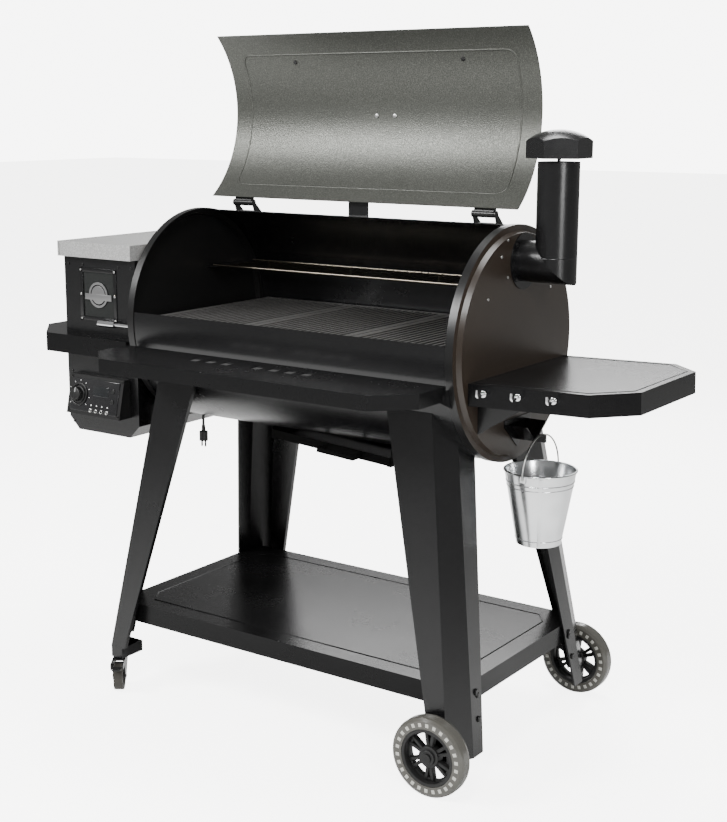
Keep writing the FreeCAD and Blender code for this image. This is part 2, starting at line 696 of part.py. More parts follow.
def frame_bolts():
    """Bolts of one size: two through each leg into the bottom shelf, four on the chimney's flange."""
    bolts = []
    drop = d["leg_reference"] - d["base_height"] + d["bolt_drop"]
    leg_face = d["leg_side_x"] + d["leg_side_slope"] * drop
    height = d["base_height"] - d["bolt_drop"]
    for end in (-1, 1):
        for front in (-1, 1):
            y = front * 236
            shank = round_shape("X", d["bolt_radius"], end * (d["base_half_length"] - 8), end * leg_face, y,
                                height)
            head = round_shape("X", d["bolt_head"], end * leg_face, end * (leg_face + 4), y, height)
            bolts.append(shank.fuse(head))
    reach = d["flange_radius"] - 9
    for angle in (45, 135, 225, 315):
        y = d["chimney_y"] + reach * cosine(angle)
        z = d["stub_height"] + reach * sine(angle)
        face = cap_face + d["seat_gap"] + d["pipe_wall"]
        shank = round_shape("X", d["bolt_radius"] * 0.6, cap_face - 8, face, y, z)
        bolts.append(shank.fuse(round_shape("X", d["bolt_head"] * 0.6, face, face + 2.5, y, z)))
    keep(shaped("bolts", Part.makeCompound(bolts)), "frame_bolts")


# ---------------------------------------------------------------- wheels and casters


def wheel(label, tyre_label, front):
    """A spoked plastic wheel and the tyre round it."""
    part = body("wheel")
    half = d["tyre_width"] / 2
    bore = d["axle_radius"] + d["bearing_gap"]
    rim, web = d["hub_radius"] - 8, 4
    turned(part, "YZ_Plane", [
        (-half, bore), (half, bore), (half, d["hub_boss"]), (web, d["hub_boss"] + 2), (web, rim),
        (half - 1, rim + 2), (half - 1, d["hub_radius"]), (1 - half, d["hub_radius"]), (1 - half, rim + 2),
        (-web, rim), (-web, d["hub_boss"] + 2), (-half, d["hub_boss"]),
    ], "H_Axis")
    gaps = sketch_on(part, "XZ_Plane")
    for i in range(6):
        middle = 60 * i + 30
        inner, outer = d["hub_boss"] + 10, rim - 3
        polygon(gaps, [
            (inner * cosine(middle - 12), inner * sine(middle - 12)),
            (outer * cosine(middle - 20), outer * sine(middle - 20)),
            (outer * cosine(middle + 20), outer * sine(middle + 20)),
            (inner * cosine(middle + 12), inner * sine(middle + 12)),
        ])
    pocket(part, gaps)
    y = front * d["wheel_y"]
    keep(part, label, d["wheel_x"], y, d["wheel_radius"])
    tyre = body("tyre")
    turned(tyre, "YZ_Plane", [
        (-half, d["hub_radius"] + d["seat_gap"]), (half, d["hub_radius"] + d["seat_gap"]),
        (half, d["wheel_radius"] - 8), (half - 4, d["wheel_radius"] - 1.5), (half - 10, d["wheel_radius"]),
        (10 - half, d["wheel_radius"]), (4 - half, d["wheel_radius"] - 1.5),
        (-half, d["wheel_radius"] - 8),
    ], "H_Axis")
    keep(tyre, tyre_label, d["wheel_x"], y, d["wheel_radius"])


def wheel_axles():
    """An axle bolt through each right leg, with a domed head outside the wheel and a nut behind."""
    axles = []
    inside = d["wheel_y"] - d["tyre_width"] / 2 - 12
    outside = d["wheel_y"] + d["tyre_width"] / 2 + 0.5
    for front in (-1, 1):
        shank = round_shape("Y", d["axle_radius"], front * inside, front * outside, 0, 0)
        head = round_shape("Y", d["axle_head"] * 0.8, front * outside, front * (outside + 2.5), 0, 0)
        nut = round_shape("Y", d["axle_head"] * 0.7, front * inside, front * (inside + 6), 0, 0)
        axles.append(shank.fuse([head, nut]))
    keep(shaped("axles", Part.makeCompound(axles)), "wheel_axles", d["wheel_x"], 0, d["wheel_radius"])


def caster_cups():
    """A pressed cup under each left leg, which the caster's stem turns in."""
    low = d["fork_top"] + d["swivel_gap"]
    high = d["left_leg_bottom"] - d["seat_gap"]
    wall = d["cup_wall"]
    cups = []
    for front in (-1, 1):
        y = front * d["caster_y"]
        ring = [(-554, 262), (-486, 262), (-486, 341), (-524, 341), (-554, 275)]
        outline = [(x, front * depth) for x, depth in ring]
        pocket_ring = [(x * 0.9 - 52, front * (depth * 0.9 + 30.5)) for x, depth in ring]
        cup = prism("Z", low, high, outline)
        hollow = prism("Z", low + d["cup_floor"] + wall, high, pocket_ring)
        stem = round_shape("Z", d["stem_radius"] + d["bearing_gap"], low - 1, high + 1, -d["caster_x"], y)
        cups.append(with_holes(cup, hollow, stem))
    keep(shaped("cups", Part.makeCompound(cups)), "caster_cups")


def caster(label, front):
    """A swivelling fork with its wheel and its brake pedal, drawn straight and then turned."""
    reach = d["caster_trail"]
    arm = d["caster_width"] / 2 + d["fork_gap"]
    axle = d["caster_radius"]
    top = d["fork_top"]
    crown = box_shape(-20, reach + 10, -arm - 3, arm + 3, top - 5, top)
    stem = round_shape("Z", d["stem_radius"], top - 2, top + d["swivel_gap"] + 8)
    boss = round_shape("Z", d["boss_radius"], top, top + d["swivel_gap"] - d["running_gap"])
    pieces = [stem, boss]
    for side in (-1, 1):
        inside, outside = side * arm, side * (arm + d["fork_wall"])
        pieces.append(prism("Y", inside, outside, [
            (-18, top), (reach + 10, top), (reach + 12, axle - 4), (reach + 6, axle - 10),
            (reach - 6, axle - 10), (reach - 12, axle - 2), (-18, top - 14),
        ]))
    pieces.append(round_shape("Y", d["caster_axle"], -arm - 5, arm + 5, reach, axle))
    fork = joined_shape(crown, *pieces)
    wheel_half = d["caster_width"] / 2
    tread = with_holes(
        round_shape("Y", d["caster_radius"], -wheel_half, wheel_half, reach, axle),
        round_shape("Y", d["caster_radius"] * 0.62, -wheel_half, -wheel_half + 4, reach, axle),
        round_shape("Y", d["caster_radius"] * 0.62, wheel_half - 4, wheel_half, reach, axle),
        round_shape("Y", d["caster_axle"] + d["bearing_gap"], -20, 20, reach, axle),
    )
    hub = with_holes(
        round_shape("Y", d["caster_axle"] * 2.4, -wheel_half, wheel_half, reach, axle),
        round_shape("Y", d["caster_axle"] + d["bearing_gap"], -20, 20, reach, axle),
    )
    tread = joined_shape(tread, hub)
    # the pedal stands behind the wheel, clear of it, on a pin between the fork's arms
    back = reach + d["caster_radius"] + 3
    pin_z = top - 11
    lugs = [
        box_shape(reach + 8, back + 8, side * arm, side * (arm + d["fork_wall"]), pin_z - 5, top)
        for side in (-1, 1)
    ]
    bore = round_shape("Y", d["pedal_pin"] + d["bearing_gap"], -arm - 5, arm + 5, back + 3, pin_z)
    fork = with_holes(joined_shape(fork, *lugs), bore)
    pedal = joined_shape(
        round_shape("Y", d["pedal_pin"], -arm - 3, arm + 3, back + 3, pin_z),
        box_shape(back + 1, back + 24, -d["pedal_half"] - 2, d["pedal_half"] + 2, pin_z - 2, pin_z + 2),
    )
    heading = d[label + "_heading"]
    for shape, name in ((fork, "fork"), (tread, "wheel"), (pedal, "brake")):
        shift = (-d["caster_x"], front * d["caster_y"], 0)
        keep_turned(shaped(name, shape), f"{label}_{name}", "Z", heading, (0, 0, 0), shift)


def running_gear():
    wheel("front_wheel", "front_tyre", -1)
    wheel("rear_wheel", "rear_tyre", 1)
    wheel_axles()
    caster_cups()
    caster("front_caster", -1)
    caster("rear_caster", 1)


# ---------------------------------------------------------------- chimney


def chimney_pipe():
    """A flanged stub out of the cap, a mitred elbow, an upright, and a bridge that holds the rain cap."""
    x, y, z = d["chimney_x"], d["chimney_y"], d["stub_height"]
    start = cap_face + d["seat_gap"]

    def elbow(radius):
        reach = 2 * d["pipe_radius"]
        stub = round_shape("X", radius, start, x + reach, y, z)
        upright = round_shape("Z", radius, z - reach, d["pipe_top"], x, y)
        left = prism("Y", y - reach, y + reach, [(x - 300, z + 300), (x + 300, z - 300), (x - 300, z - 300)])
        right = prism("Y", y - reach, y + reach, [(x - 300, z + 300), (x + 300, z - 300), (x + 300, z + 300)])
        return stub.common(left).fuse(upright.common(right))

    flange = round_shape("X", d["flange_radius"], start, start + d["pipe_wall"], y, z)
    outside = joined_shape(elbow(d["pipe_radius"]), flange)
    inside = elbow(d["pipe_radius"] - d["pipe_wall"])
    bridge_half = d["pipe_radius"] - 1
    bridge = box_shape(x - bridge_half, x + bridge_half, y - 8, y + 8, d["pipe_top"] - 32, d["pipe_top"] - 28)
    rod_hole = round_shape("Z", d["rod_radius"] + d["bearing_gap"], z, d["pipe_top"], x, y)
    pipe = with_holes(outside, inside).fuse(with_holes(bridge, rod_hole)).removeSplitter()
    keep(shaped("pipe", pipe), "chimney_pipe")


def chimney_cap():
    """An eight-sided rain cap with a domed crown, hollow below, on a threaded rod."""
    low = d["pipe_top"] + d["cap_gap"]
    wall = d["sheet"]

    def octagon(half, height):
        corner = half / cosine(22.5)
        ring = [vector(corner * cosine(22.5 + 45 * i), corner * sine(22.5 + 45 * i), height)
                for i in range(8)]
        return Part.makePolygon(ring + ring[:1])

    def shell(inset):
        half = d["cap_half"] - inset
        top = low + d["cap_height"] - inset
        levels = [(half, low), (half, low + d["cap_band"]), (half * 0.78, (low + top + d["cap_band"]) / 2 + 5),
                  (d["cap_crown"] - inset, top)]
        lower = Part.makeLoft([octagon(*levels[0]), octagon(*levels[1])], True, True)
        middle = Part.makeLoft([octagon(*levels[1]), octagon(*levels[2])], True, True)
        upper = Part.makeLoft([octagon(*levels[2]), octagon(*levels[3])], True, True)
        return joined_shape(lower, middle, upper)

    top = low + d["cap_height"] - wall
    rod_shape = round_shape("Z", d["rod_radius"], d["pipe_top"] - d["rod_length"], top + 1)
    keep(shaped("cap", joined_shape(shell(0).cut(shell(wall)), rod_shape)), "chimney_cap", d["chimney_x"],
         d["chimney_y"])


# ---------------------------------------------------------------- shelves


def side_shelf():
    """The glossy shelf at the chimney's end, tilted up a little, with a folded apron."""
    part = body("shelf")
    length, half, corner = d["side_shelf_length"], d["side_shelf_half"], d["shelf_corner"]
    wall, apron = d["sheet"], d["side_apron"]
    outside = [(0, -half), (length - corner, -half), (length, corner - half), (length, half - corner),
               (length - corner, half), (0, half)]
    pad(part, polygon(sketch_on(part, "XY_Plane", -apron), outside), apron)
    bevel = wall * 0.414
    inside = [
        (wall, wall - half), (length - corner - bevel, wall - half), (length - wall, corner - half + bevel),
        (length - wall, half - corner - bevel), (length - corner - bevel, half - wall), (wall, half - wall),
    ]
    pocket(part, polygon(sketch_on(part, "XY_Plane", -apron), inside), apron - wall, "One side", True)
    root = cap_face + d["seat_gap"]
    keep_turned(part, "side_shelf", "Y", -tilt, (0, 0, 0), (root, 0, d["side_shelf_top"]))


def side_shelf_brackets():
    """Two sheet gussets under the side shelf."""
    plates = []
    root = cap_face + d["seat_gap"]
    under = d["side_shelf_top"] - d["sheet"] - 0.5
    top = d["side_shelf_top"] - d["side_apron"] - 4
    reach = d["gusset_reach"]
    for side in (-1, 1):
        y = side * d["gusset_y"]
        plate = prism("X", root, root + 2, [
            (y - side * 24, top), (y, top), (y, top - d["gusset_drop"]),
            (y - side * 24, top - d["gusset_drop"]),
        ])
        web = prism("Y", y, y - side * 2, [
            (root, top), (root + 4, top), (root + 4, under), (root + reach, under + reach * sine(tilt)),
            (root + reach, under - 12), (root, top - d["gusset_drop"]),
        ])
        plates.append(joined_shape(plate, web))
    keep(shaped("gussets", Part.makeCompound(plates)), "side_shelf_brackets")


def tool_hooks():
    """Three bent wire hooks on the side shelf's front apron."""
    hooks = []
    face = -d["side_shelf_half"] - d["seat_gap"]
    for i in range(3):
        x = cap_face + d["hook_first_x"] + i * d["hook_spacing"]
        z = d["side_shelf_top"] - 20 + (x - cap_face) * sine(tilt)
        reach = d["hook_reach"]
        points = [(x, face, z), (x, face - reach, z - 4), (x, face - reach, z + 14)]
        wire = swept(rounded_route(points, [6.0]), d["hook_wire"])
        head = round_shape("Y", d["hook_wire"] * 2.2, face, face - 3, x, z)
        hooks.append(joined_shape(wire, head))
    keep(shaped("hooks", Part.makeCompound(hooks)), "tool_hooks")


def front_shelf():
    """The folding shelf along the front, with a row of slots and a towel notch."""
    part = body("shelf")
    half, depth, corner = d["front_shelf_half"], d["front_shelf_depth"], d["shelf_corner"]
    wall, apron = d["sheet"], d["front_apron"]
    outside = [(half, 0), (-half, 0), (-half, corner - depth), (corner - half, -depth),
               (half - corner, -depth), (half, corner - depth)]
    pad(part, polygon(sketch_on(part, "XY_Plane", -apron), outside), apron)
    bevel = wall * 0.414
    inside = [
        (half - wall, 1), (wall - half, 1), (wall - half, corner - depth + bevel),
        (corner - half + bevel, wall - depth), (half - corner - bevel, wall - depth),
        (half - wall, corner - depth + bevel),
    ]
    pocket(part, polygon(sketch_on(part, "XY_Plane", -apron), inside), apron - wall, "One side", True)
    slots = sketch_on(part, "XY_Plane")
    half_slot = d["tool_slot"] / 2
    for i in (-4, -3, -2, 0, 1, 2, 3):
        x = i * d["tool_slot_pitch"] - half_slot
        rectangle(slots, x, -65 - half_slot, x + d["tool_slot"], half_slot - 65)
    pocket(part, slots)
    pivots = circle(sketch_on(part, "YZ_Plane"), d["front_shelf_rear"] - d["pivot_y"], -d["pivot_drop"],
                    d["pivot_radius"] + d["bearing_gap"])
    pocket(part, pivots)
    keep(part, "front_shelf", 0, -d["front_shelf_rear"], d["front_shelf_top"])


def front_shelf_brackets():
    """A plate off each end of the barrel, with the pin that the front shelf turns on."""
    plates = []
    y, z = -d["pivot_y"], d["front_shelf_top"] - d["pivot_drop"]
    inner = d["front_shelf_half"] - d["sheet"] - d["running_gap"] - 3
    for side in (-1, 1):
        plate = prism("X", side * inner, side * (inner + 3), [
            (-240, z + 12), (y, z + 12), (y - 10, z + 4), (y - 10, z - 6), (y, z - 14), (-240, z - 40),
        ])
        pin = round_shape("X", d["pivot_radius"], side * inner, side * (d["front_shelf_half"] + 1), y, z)
        head = round_shape("X", d["pivot_radius"] * 1.9, side * (d["front_shelf_half"] + 1),
                           side * (d["front_shelf_half"] + 3.5), y, z)
        plates.append(with_holes(joined_shape(plate, pin, head), drum(d["seat_gap"], cap_radius)))
    keep(shaped("plates", Part.makeCompound(plates)), "front_shelf_brackets")


def hopper_shelf():
    """The shelf fixed round the hopper, reaching out to its left."""
    part = body("shelf")
    left, front, corner = d["hopper_shelf_left"], d["hopper_shelf_front"], d["hopper_shelf_corner"]
    wall, apron = d["sheet"], d["side_apron"]
    cut_x = left - 796
    right = hopper_right

    def outline(inset):
        bevel = inset * 0.414
        return [
            (-right - inset, inset - front), (-left + cut_x + bevel, inset - front),
            (-left + inset, corner - front + bevel), (-left + inset, front - corner - bevel),
            (-left + cut_x + bevel, front - inset), (-right - inset, front - inset),
        ]

    low = d["hopper_shelf_top"] - apron
    pad(part, polygon(sketch_on(part, "XY_Plane", low), outline(0)), apron)
    pocket(part, polygon(sketch_on(part, "XY_Plane", low), outline(wall)), apron - wall, "One side", True)
    gap = d["seat_gap"]
    opening = rectangle(sketch_on(part, "XY_Plane"), -hopper_left - gap, -d["hopper_front"] - gap,
                        -hopper_right + 5, d["hopper_rear"] + gap)
    pocket(part, opening)
    keep(part, "hopper_shelf")


# ---------------------------------------------------------------- inside the barrel


def main_grates():
    """Three cast grates side by side, their bars running front to back."""
    width = (2 * d["grate_half_length"] - 2 * d["grate_gap"]) / 3
    slots = 14
    slot = d["grate_pitch"] - d["grate_bar"]
    for i in range(3):
        part = body("grate")
        depth = d["grate_half_depth"]
        pad(part, rectangle(sketch_on(part, "XY_Plane"), -width / 2, -depth, width / 2, depth), d["grate_thick"])
        first = (slots - 1) * d["grate_pitch"] / -2 - slot / 2
        opening = rectangle(sketch_on(part, "XY_Plane"), first, d["grate_rail"] - depth, first + slot,
                            depth - d["grate_rail"])
        gap = pocket(part, opening)
        part.Tip = gap
        repeated(part, gap, "X_Axis", (slots - 1) * d["grate_pitch"], slots)
        x = (i - 1) * (width + d["grate_gap"])
        keep(part, f"main_grate_{i + 1}", x, 0, d["grate_top"] - d["grate_thick"])


def upper_rack():
    """A wire rack along the back, resting on the end caps' shelves."""
    wire = d["rack_wire"]
    z = d["rack_top"] - wire
    front, rear = d["rack_front"] + wire, d["rack_rear"] - wire
    rods = [round_shape("X", wire, -d["rack_half"], d["rack_half"], y, z) for y in (front, rear)]
    rods.append(round_shape("X", wire, 20 - d["rack_half"], d["rack_half"] - 20, rear, z - d["rack_rail"]))
    count = int(float(2 * d["rack_half"] - 60) / float(d["rack_pitch"]))
    start = -count * d["rack_pitch"] / 2
    for i in range(count + 1):
        rods.append(round_shape("Y", wire / 2, front, rear, start + i * d["rack_pitch"], z))
    for x in (-420, -140, 140, 420):
        rods.append(round_shape("Z", wire * 0.8, z - d["rack_rail"], z, x, rear))
    keep(shaped("rack", rods[0].fuse(rods[1:])), "upper_rack")


def slot_row():
    """The openings shared by the broiler plate and the slide over it."""
    return [i * d["slot_pitch"] for i in (-2, -1, 0, 1, 2)]


def broiler():
    """A plate above the fire with a row of slots, and a slotted slide on a lever that covers them."""
    plate = body("plate")
    half = d["broiler_half"]
    pad(plate, rectangle(sketch_on(plate, "XY_Plane"), -half, -d["broiler_half_depth"], half,
                         d["broiler_half_depth"]), d["plate_wall"])
    slide = body("slide")
    pad(slide, rectangle(sketch_on(slide, "XY_Plane"), -d["slider_half_x"], -d["slider_half_y"],
                         d["slider_half_x"], d["slider_half_y"]), d["plate_wall"])
    arm = rectangle(sketch_on(slide, "XY_Plane"), -150, -d["lever_y"] - 5, -120, -d["slider_half_y"])
    pad(slide, arm, d["plate_wall"])
    top = d["lever_z"] - d["broiler_z"]
    tab = rectangle(sketch_on(slide, "YZ_Plane", Size(-150, "(0 - 150)")), -d["lever_y"] - 5, 0,
                    5 - d["lever_y"], top)
    pad(slide, tab, 8)
    for part in (plate, slide):
        slots = sketch_on(part, "XY_Plane")
        for x in slot_row():
            rectangle(slots, x - d["slot_width"] / 2, -d["slot_length"] / 2, x + d["slot_width"] / 2,
                      d["slot_length"] / 2)
        pocket(part, slots)
    keep(plate, "broiler_plate", z=d["broiler_z"] - d["plate_wall"])
    keep(slide, "broiler_slide", z=d["broiler_z"] + d["seat_gap"])
    lever = rod(d["lever_radius"], d["lever_end_x"] - 150, -d["lever_end_x"], -d["lever_y"], d["lever_z"], "X")
    grip = rod(d["grip_radius"], d["grip_length"], -d["lever_end_x"], -d["lever_y"], d["lever_z"], "X")
    keep(fused(lever, grip), "broiler_lever")


def burn_pot():
    """The round fire pot on the barrel's floor, open above and pierced by the auger and the igniter."""
    radius, wall = d["pot_radius"], d["pot_wall"]
    pot = round_shape("Z", radius, d["pot_foot"] - 30, d["pot_top"])
    pot = pot.common(round_shape("X", shell_inner - d["seat_gap"], -100, 100, 0, d["axis_height"]))
    fire = round_shape("Z", radius - wall, d["pot_floor"] + wall, d["pot_top"] + 1)
    below = round_shape("Z", radius - wall, 600, d["pot_floor"])
    tube = round_shape("X", d["tube_radius"] + d["seat_gap"], -radius - 1, 0, 0, d["auger_z"])
    igniter = round_shape("X", d["igniter_radius"] + d["seat_gap"], -radius - 1, 0, 0, d["igniter_z"])
    keep(shaped("pot", with_holes(pot, fire, below, tube, igniter)), "burn_pot")
    rod_shape = rod(d["igniter_radius"], d["igniter_length"], -radius - 60, 0, d["igniter_z"], "X")
    keep(group(rod_shape), "igniter")


def auger():
    """The feed screw, the tube it turns in, and its motor."""
    x_end, z = -d["tube_end_x"], d["auger_z"]
    start = wall_inside = 4 - d["pot_radius"]
    tube = with_holes(
        round_shape("X", d["tube_radius"], x_end, start, 0, z),
        round_shape("X", d["tube_radius"] - d["tube_wall"], x_end - 1, start + 1, 0, z),
        box_shape(-d["throat_x"] - 25, -d["throat_x"] + 25, -18, 18, z, z + d["tube_radius"] + 1),
    )
    keep(shaped("tube", tube), "auger_tube")
    length = 13 * d["auger_pitch"]
    helix = Part.makeHelix(float(d["auger_pitch"]), float(length), 10)
    blade_half = d["auger_blade"] / 2
    inner = d["auger_shaft"] - 1
    section = Part.makePolygon([vector(r, 0, h) for r, h in (
        (inner, -blade_half), (d["auger_radius"], -blade_half), (d["auger_radius"], blade_half),
        (inner, blade_half), (inner, -blade_half),
    )])
    screw = Part.Wire(helix).makePipeShell([section], True, True)
    screw.rotate(Vector(), Vector(0, 1, 0), 90)
    screw.translate(vector(-length - 70, 0, z))
    shaft = round_shape("X", d["auger_shaft"], x_end - 7, wall_inside - 4, 0, z)
    keep(shaped("screw", shaft.fuse(screw)), "auger")
    back = x_end - d["seat_gap"]
    motor = with_holes(
        joined_shape(round_shape("X", d["motor_radius"], back - d["motor_length"], back, 0, z),
                     box_shape(back - 16, back, -32, 32, z - 32, z + 32)),
        round_shape("X", d["auger_shaft"] + d["bearing_gap"], back - 9, back + 1, 0, z),
    )
    keep(shaped("motor", motor), "auger_motor")


# ---------------------------------------------------------------- hopper and controls


def hopper_body():
    """The welded hopper: bin, sloped floor, machine room below, hinge lugs, cord peg and cord tabs."""
    wall = d["hopper_wall"]
    left, right = -hopper_left, -hopper_right
    front, rear = -d["hopper_front"], d["hopper_rear"]

    def casing(inset):
        corner, shoulder = d["hopper_corner"] - inset * 0.6, d["hopper_shoulder"] - inset
        low = d["hopper_bottom"] + inset
        outline = [(left + inset + corner, low), (right - inset - corner, low),
                   (right - inset, low + corner), (right - inset, shoulder), (left + inset, shoulder),
                   (left + inset, low + corner)]
        collar = d["hopper_inset"] + inset
        return prism("Y", front + inset, rear - inset, outline).fuse(box_shape(
            left + collar, right - collar, front + collar, rear - collar, shoulder - 5,
            d["hopper_top"] + (5 if inset else 0)))

    shell = casing(0).cut(casing(wall))

    def funnel(inset):
        floor, throat = d["hopper_floor"] - inset, d["auger_z"] + d["tube_radius"] + 4
        reach = d["throat_half"] - inset
        x = -d["throat_x"]
        upper = [(left + inset + 0.5, front + inset + 0.5), (right - inset - 0.5, front + inset + 0.5),
                 (right - inset - 0.5, rear - inset - 0.5), (left + inset + 0.5, rear - inset - 0.5)]
        lower = [(x - reach, -reach), (x + reach, -reach), (x + reach, reach), (x - reach, reach)]
        wires = []
        for height, ring in ((throat - (1 if inset else 0), lower), (floor + (3 * inset), upper)):
            spots = [vector(u, v, height) for u, v in ring]
            wires.append(Part.makePolygon(spots + spots[:1]))
        return Part.makeLoft(wires, True, True)

    shell = shell.fuse(funnel(0).cut(funnel(wall)))
    window_left = -d["window_x"] - d["window_width"] / 2
    glass_hole = box_shape(window_left + d["bezel_lap"], window_left + d["window_width"] - d["bezel_lap"],
                           front - 1, front + wall + 1, d["window_bottom"] + d["bezel_lap"],
                           d["window_bottom"] + d["window_height"] - d["bezel_lap"])
    panel_hole = box_shape(-d["panel_x"] - 80, -d["panel_x"] + 80, front - 1, front + wall + 1,
                           d["panel_bottom"] + 15, d["panel_bottom"] + d["panel_height"] - 15)
    tube_hole = round_shape("X", d["tube_radius"] + d["seat_gap"], right - 10, right + 10, 0, d["auger_z"])
    vents = [
        box_shape(-700 + 14 * i, -694 + 14 * i, rear - wall - 1, rear + 1, 830, 870) for i in range(10)
    ]
    shell = with_holes(shell, glass_hole, panel_hole, tube_hole, *vents)

    pin_y, pin_z = d["hinge_line_y"], d["hinge_line_z"]
    middle = (left + right) / 2
    additions = [round_shape("X", d["pin_wire"], middle - 112, middle + 112, pin_y, pin_z)]
    for x in (middle - 105, middle, middle + 105):
        additions.append(box_shape(x - 7, x + 7, rear - 0.5, pin_y, pin_z - 5, pin_z - 1))
        additions.append(round_shape("X", d["knuckle"], x - 7, x + 7, pin_y, pin_z))
    additions.append(round_shape("Y", d["fan_shaft"], 100, rear - wall / 2, -d["fan_x"], d["fan_z"]))
    peg_z = d["coil_z"] + d["coil_radius"] - d["coil_bundle"] - d["hanger_radius"] - d["seat_gap"]
    additions.append(round_shape("Y", d["hanger_radius"], rear - 0.5, rear + 27, -d["coil_x"], peg_z))
    cord_low = 704 - d["cord_radius"]
    for y in (60, 140):
        additions.append(box_shape(right - 0.5, right + 21, y - 5, y + 5, cord_low - 2.5, cord_low - 0.5))
    keep(shaped("hopper", joined_shape(shell, *additions)), "hopper_body")


def hopper_lid():
    """The hopper's lid: a tray turned down over the collar, hinged at the back."""
    wall = d["sheet"]
    left, right = -hopper_left - d["lid_side_overhang"], -hopper_right - 0.5
    front, rear = -d["hopper_front"] - d["lid_front_overhang"], d["hopper_rear"] + 3.5
    low = d["hopper_shoulder"] + 2
    top = low + d["hopper_lid_height"]
    tray = with_holes(
        box_shape(left, right, front, rear, low, top),
        box_shape(left + wall, right - wall, front + wall, rear - wall, low - 1, top - wall),
    )
    middle = (-hopper_left - hopper_right) / 2
    pin_y, pin_z = d["hinge_line_y"], d["hinge_line_z"]
    pieces = []
    for x in (middle - 52, middle + 52):
        pieces.append(round_shape("X", d["knuckle"], x - 40, x + 40, pin_y, pin_z))
        pieces.append(box_shape(x - 40, x + 40, rear - wall / 2, rear + 3, pin_z, low + 20))
    bore = round_shape("X", d["pin_wire"] + d["bearing_gap"], middle - 120, middle + 120, pin_y, pin_z)
    keep(shaped("lid", with_holes(joined_shape(tray, *pieces), bore)), "hopper_lid")
    inside = d["hopper_wall"] + d["seat_gap"] - d["hopper_front"]
    glass = block(d["window_width"], d["glass"], d["window_height"], -d["window_x"] - d["window_width"] / 2,
                  inside, d["window_bottom"])
    keep(group(glass), "window_glass")


def controls():
    """The sloping control housing with its dial."""
    left = -d["panel_x"] - d["panel_width"] / 2
    right = left + d["panel_width"]
    back = -d["hopper_front"] - d["seat_gap"]
    low, top = d["panel_bottom"], d["panel_bottom"] + d["panel_height"]
    face = [(-d["hopper_front"] - d["panel_depth_top"], top), (-d["hopper_front"] - d["panel_depth_bottom"], low)]
    outside = prism("X", left, right, [(back, low), (back, top), *face])
    wall = d["sheet"]
    inner = [(face[0][0] + wall, top - wall), (face[1][0] + wall, low + wall)]
    inside = prism("X", left + wall, right - wall, [(back + 1, low + wall), (back + 1, top - wall), *inner])
    keep(shaped("housing", outside.cut(inside)), "control_housing")
    slope = math.degrees(math.atan2(float(face[0][0] - face[1][0]), float(d["panel_height"])))
    dial = body("dial")
    radius, depth = d["knob_radius"], d["knob_depth"]
    turned(dial, "YZ_Plane", [
        (-0.5, 0), (-0.5, radius - 1), (-4, radius), (-7, radius * 0.8), (1 - depth, radius * 0.72),
        (-depth, radius * 0.66), (-depth, 0),
    ], "H_Axis")
    height = low + d["panel_height"] * 0.5
    y = face[1][0] + (face[0][0] - face[1][0]) * 0.5
    keep_turned(dial, "control_knob", "X", -slope, (0, 0, 0), (left + d["knob_inset"], y, height))


def fan():
    """The blower wheel on its shaft in the machine room."""
    blades = []
    start = 110
    for i in range(8):
        blade = box_shape(14, d["fan_radius"], start, start + d["fan_depth"], -1, 1)
        blade.rotate(Vector(), Vector(0, 1, 0), 45 * i)
        blades.append(blade)
    disc = round_shape("Y", d["fan_radius"], start, start + 3)
    hub = round_shape("Y", 16, start, start + d["fan_depth"])
    wheel_shape = joined_shape(disc, hub, *blades)
    bore = round_shape("Y", d["fan_shaft"] + d["bearing_gap"], start - 1, start + 40)
    keep(shaped("fan", with_holes(wheel_shape, bore)), "fan_wheel", -d["fan_x"], 0, d["fan_z"])


# ---------------------------------------------------------------- grease and ash


def grease_chute():
    """A folded trough out through the right cap, with the notched plate that the bucket hangs on."""
    half, top, low = d["chute_half"], d["chute_top"], d["chute_top"] - d["chute_depth"]
    right, left = cap_face + d["chute_reach"], cap_face - d["chute_inner"]
    hollow = [(3 - half, top + 1), (0, low + 2.5), (half - 3, top + 1)]
    trough = prism("X", left, right, [(-half, top), (0, low), (half, top)])
    face = cap_face + d["seat_gap"]
    plate = prism("X", face, face + 2, [
        (0, low - 17), (half + 14, top - 4), (half + 14, top + 12), (-half - 14, top + 12), (-half - 14, top - 4),
    ])
    shape = with_holes(joined_shape(trough, plate), prism("X", left - 1, right + 1, hollow))
    hang = d["bucket_rim_z"] - d["ear_drop"] + d["bail_radius"] - d["bail_wire"] - d["seat_gap"]
    tongue = box_shape(right - 8, cap_face + 78, -3, 3, low + 1, hang + d["hanger_notch"])
    notch = box_shape(d["bucket_x"] - 3, d["bucket_x"] + 3, -4, 4, hang, hang + 10)
    keep(shaped("chute", joined_shape(shape, tongue).cut(notch)), "grease_chute")


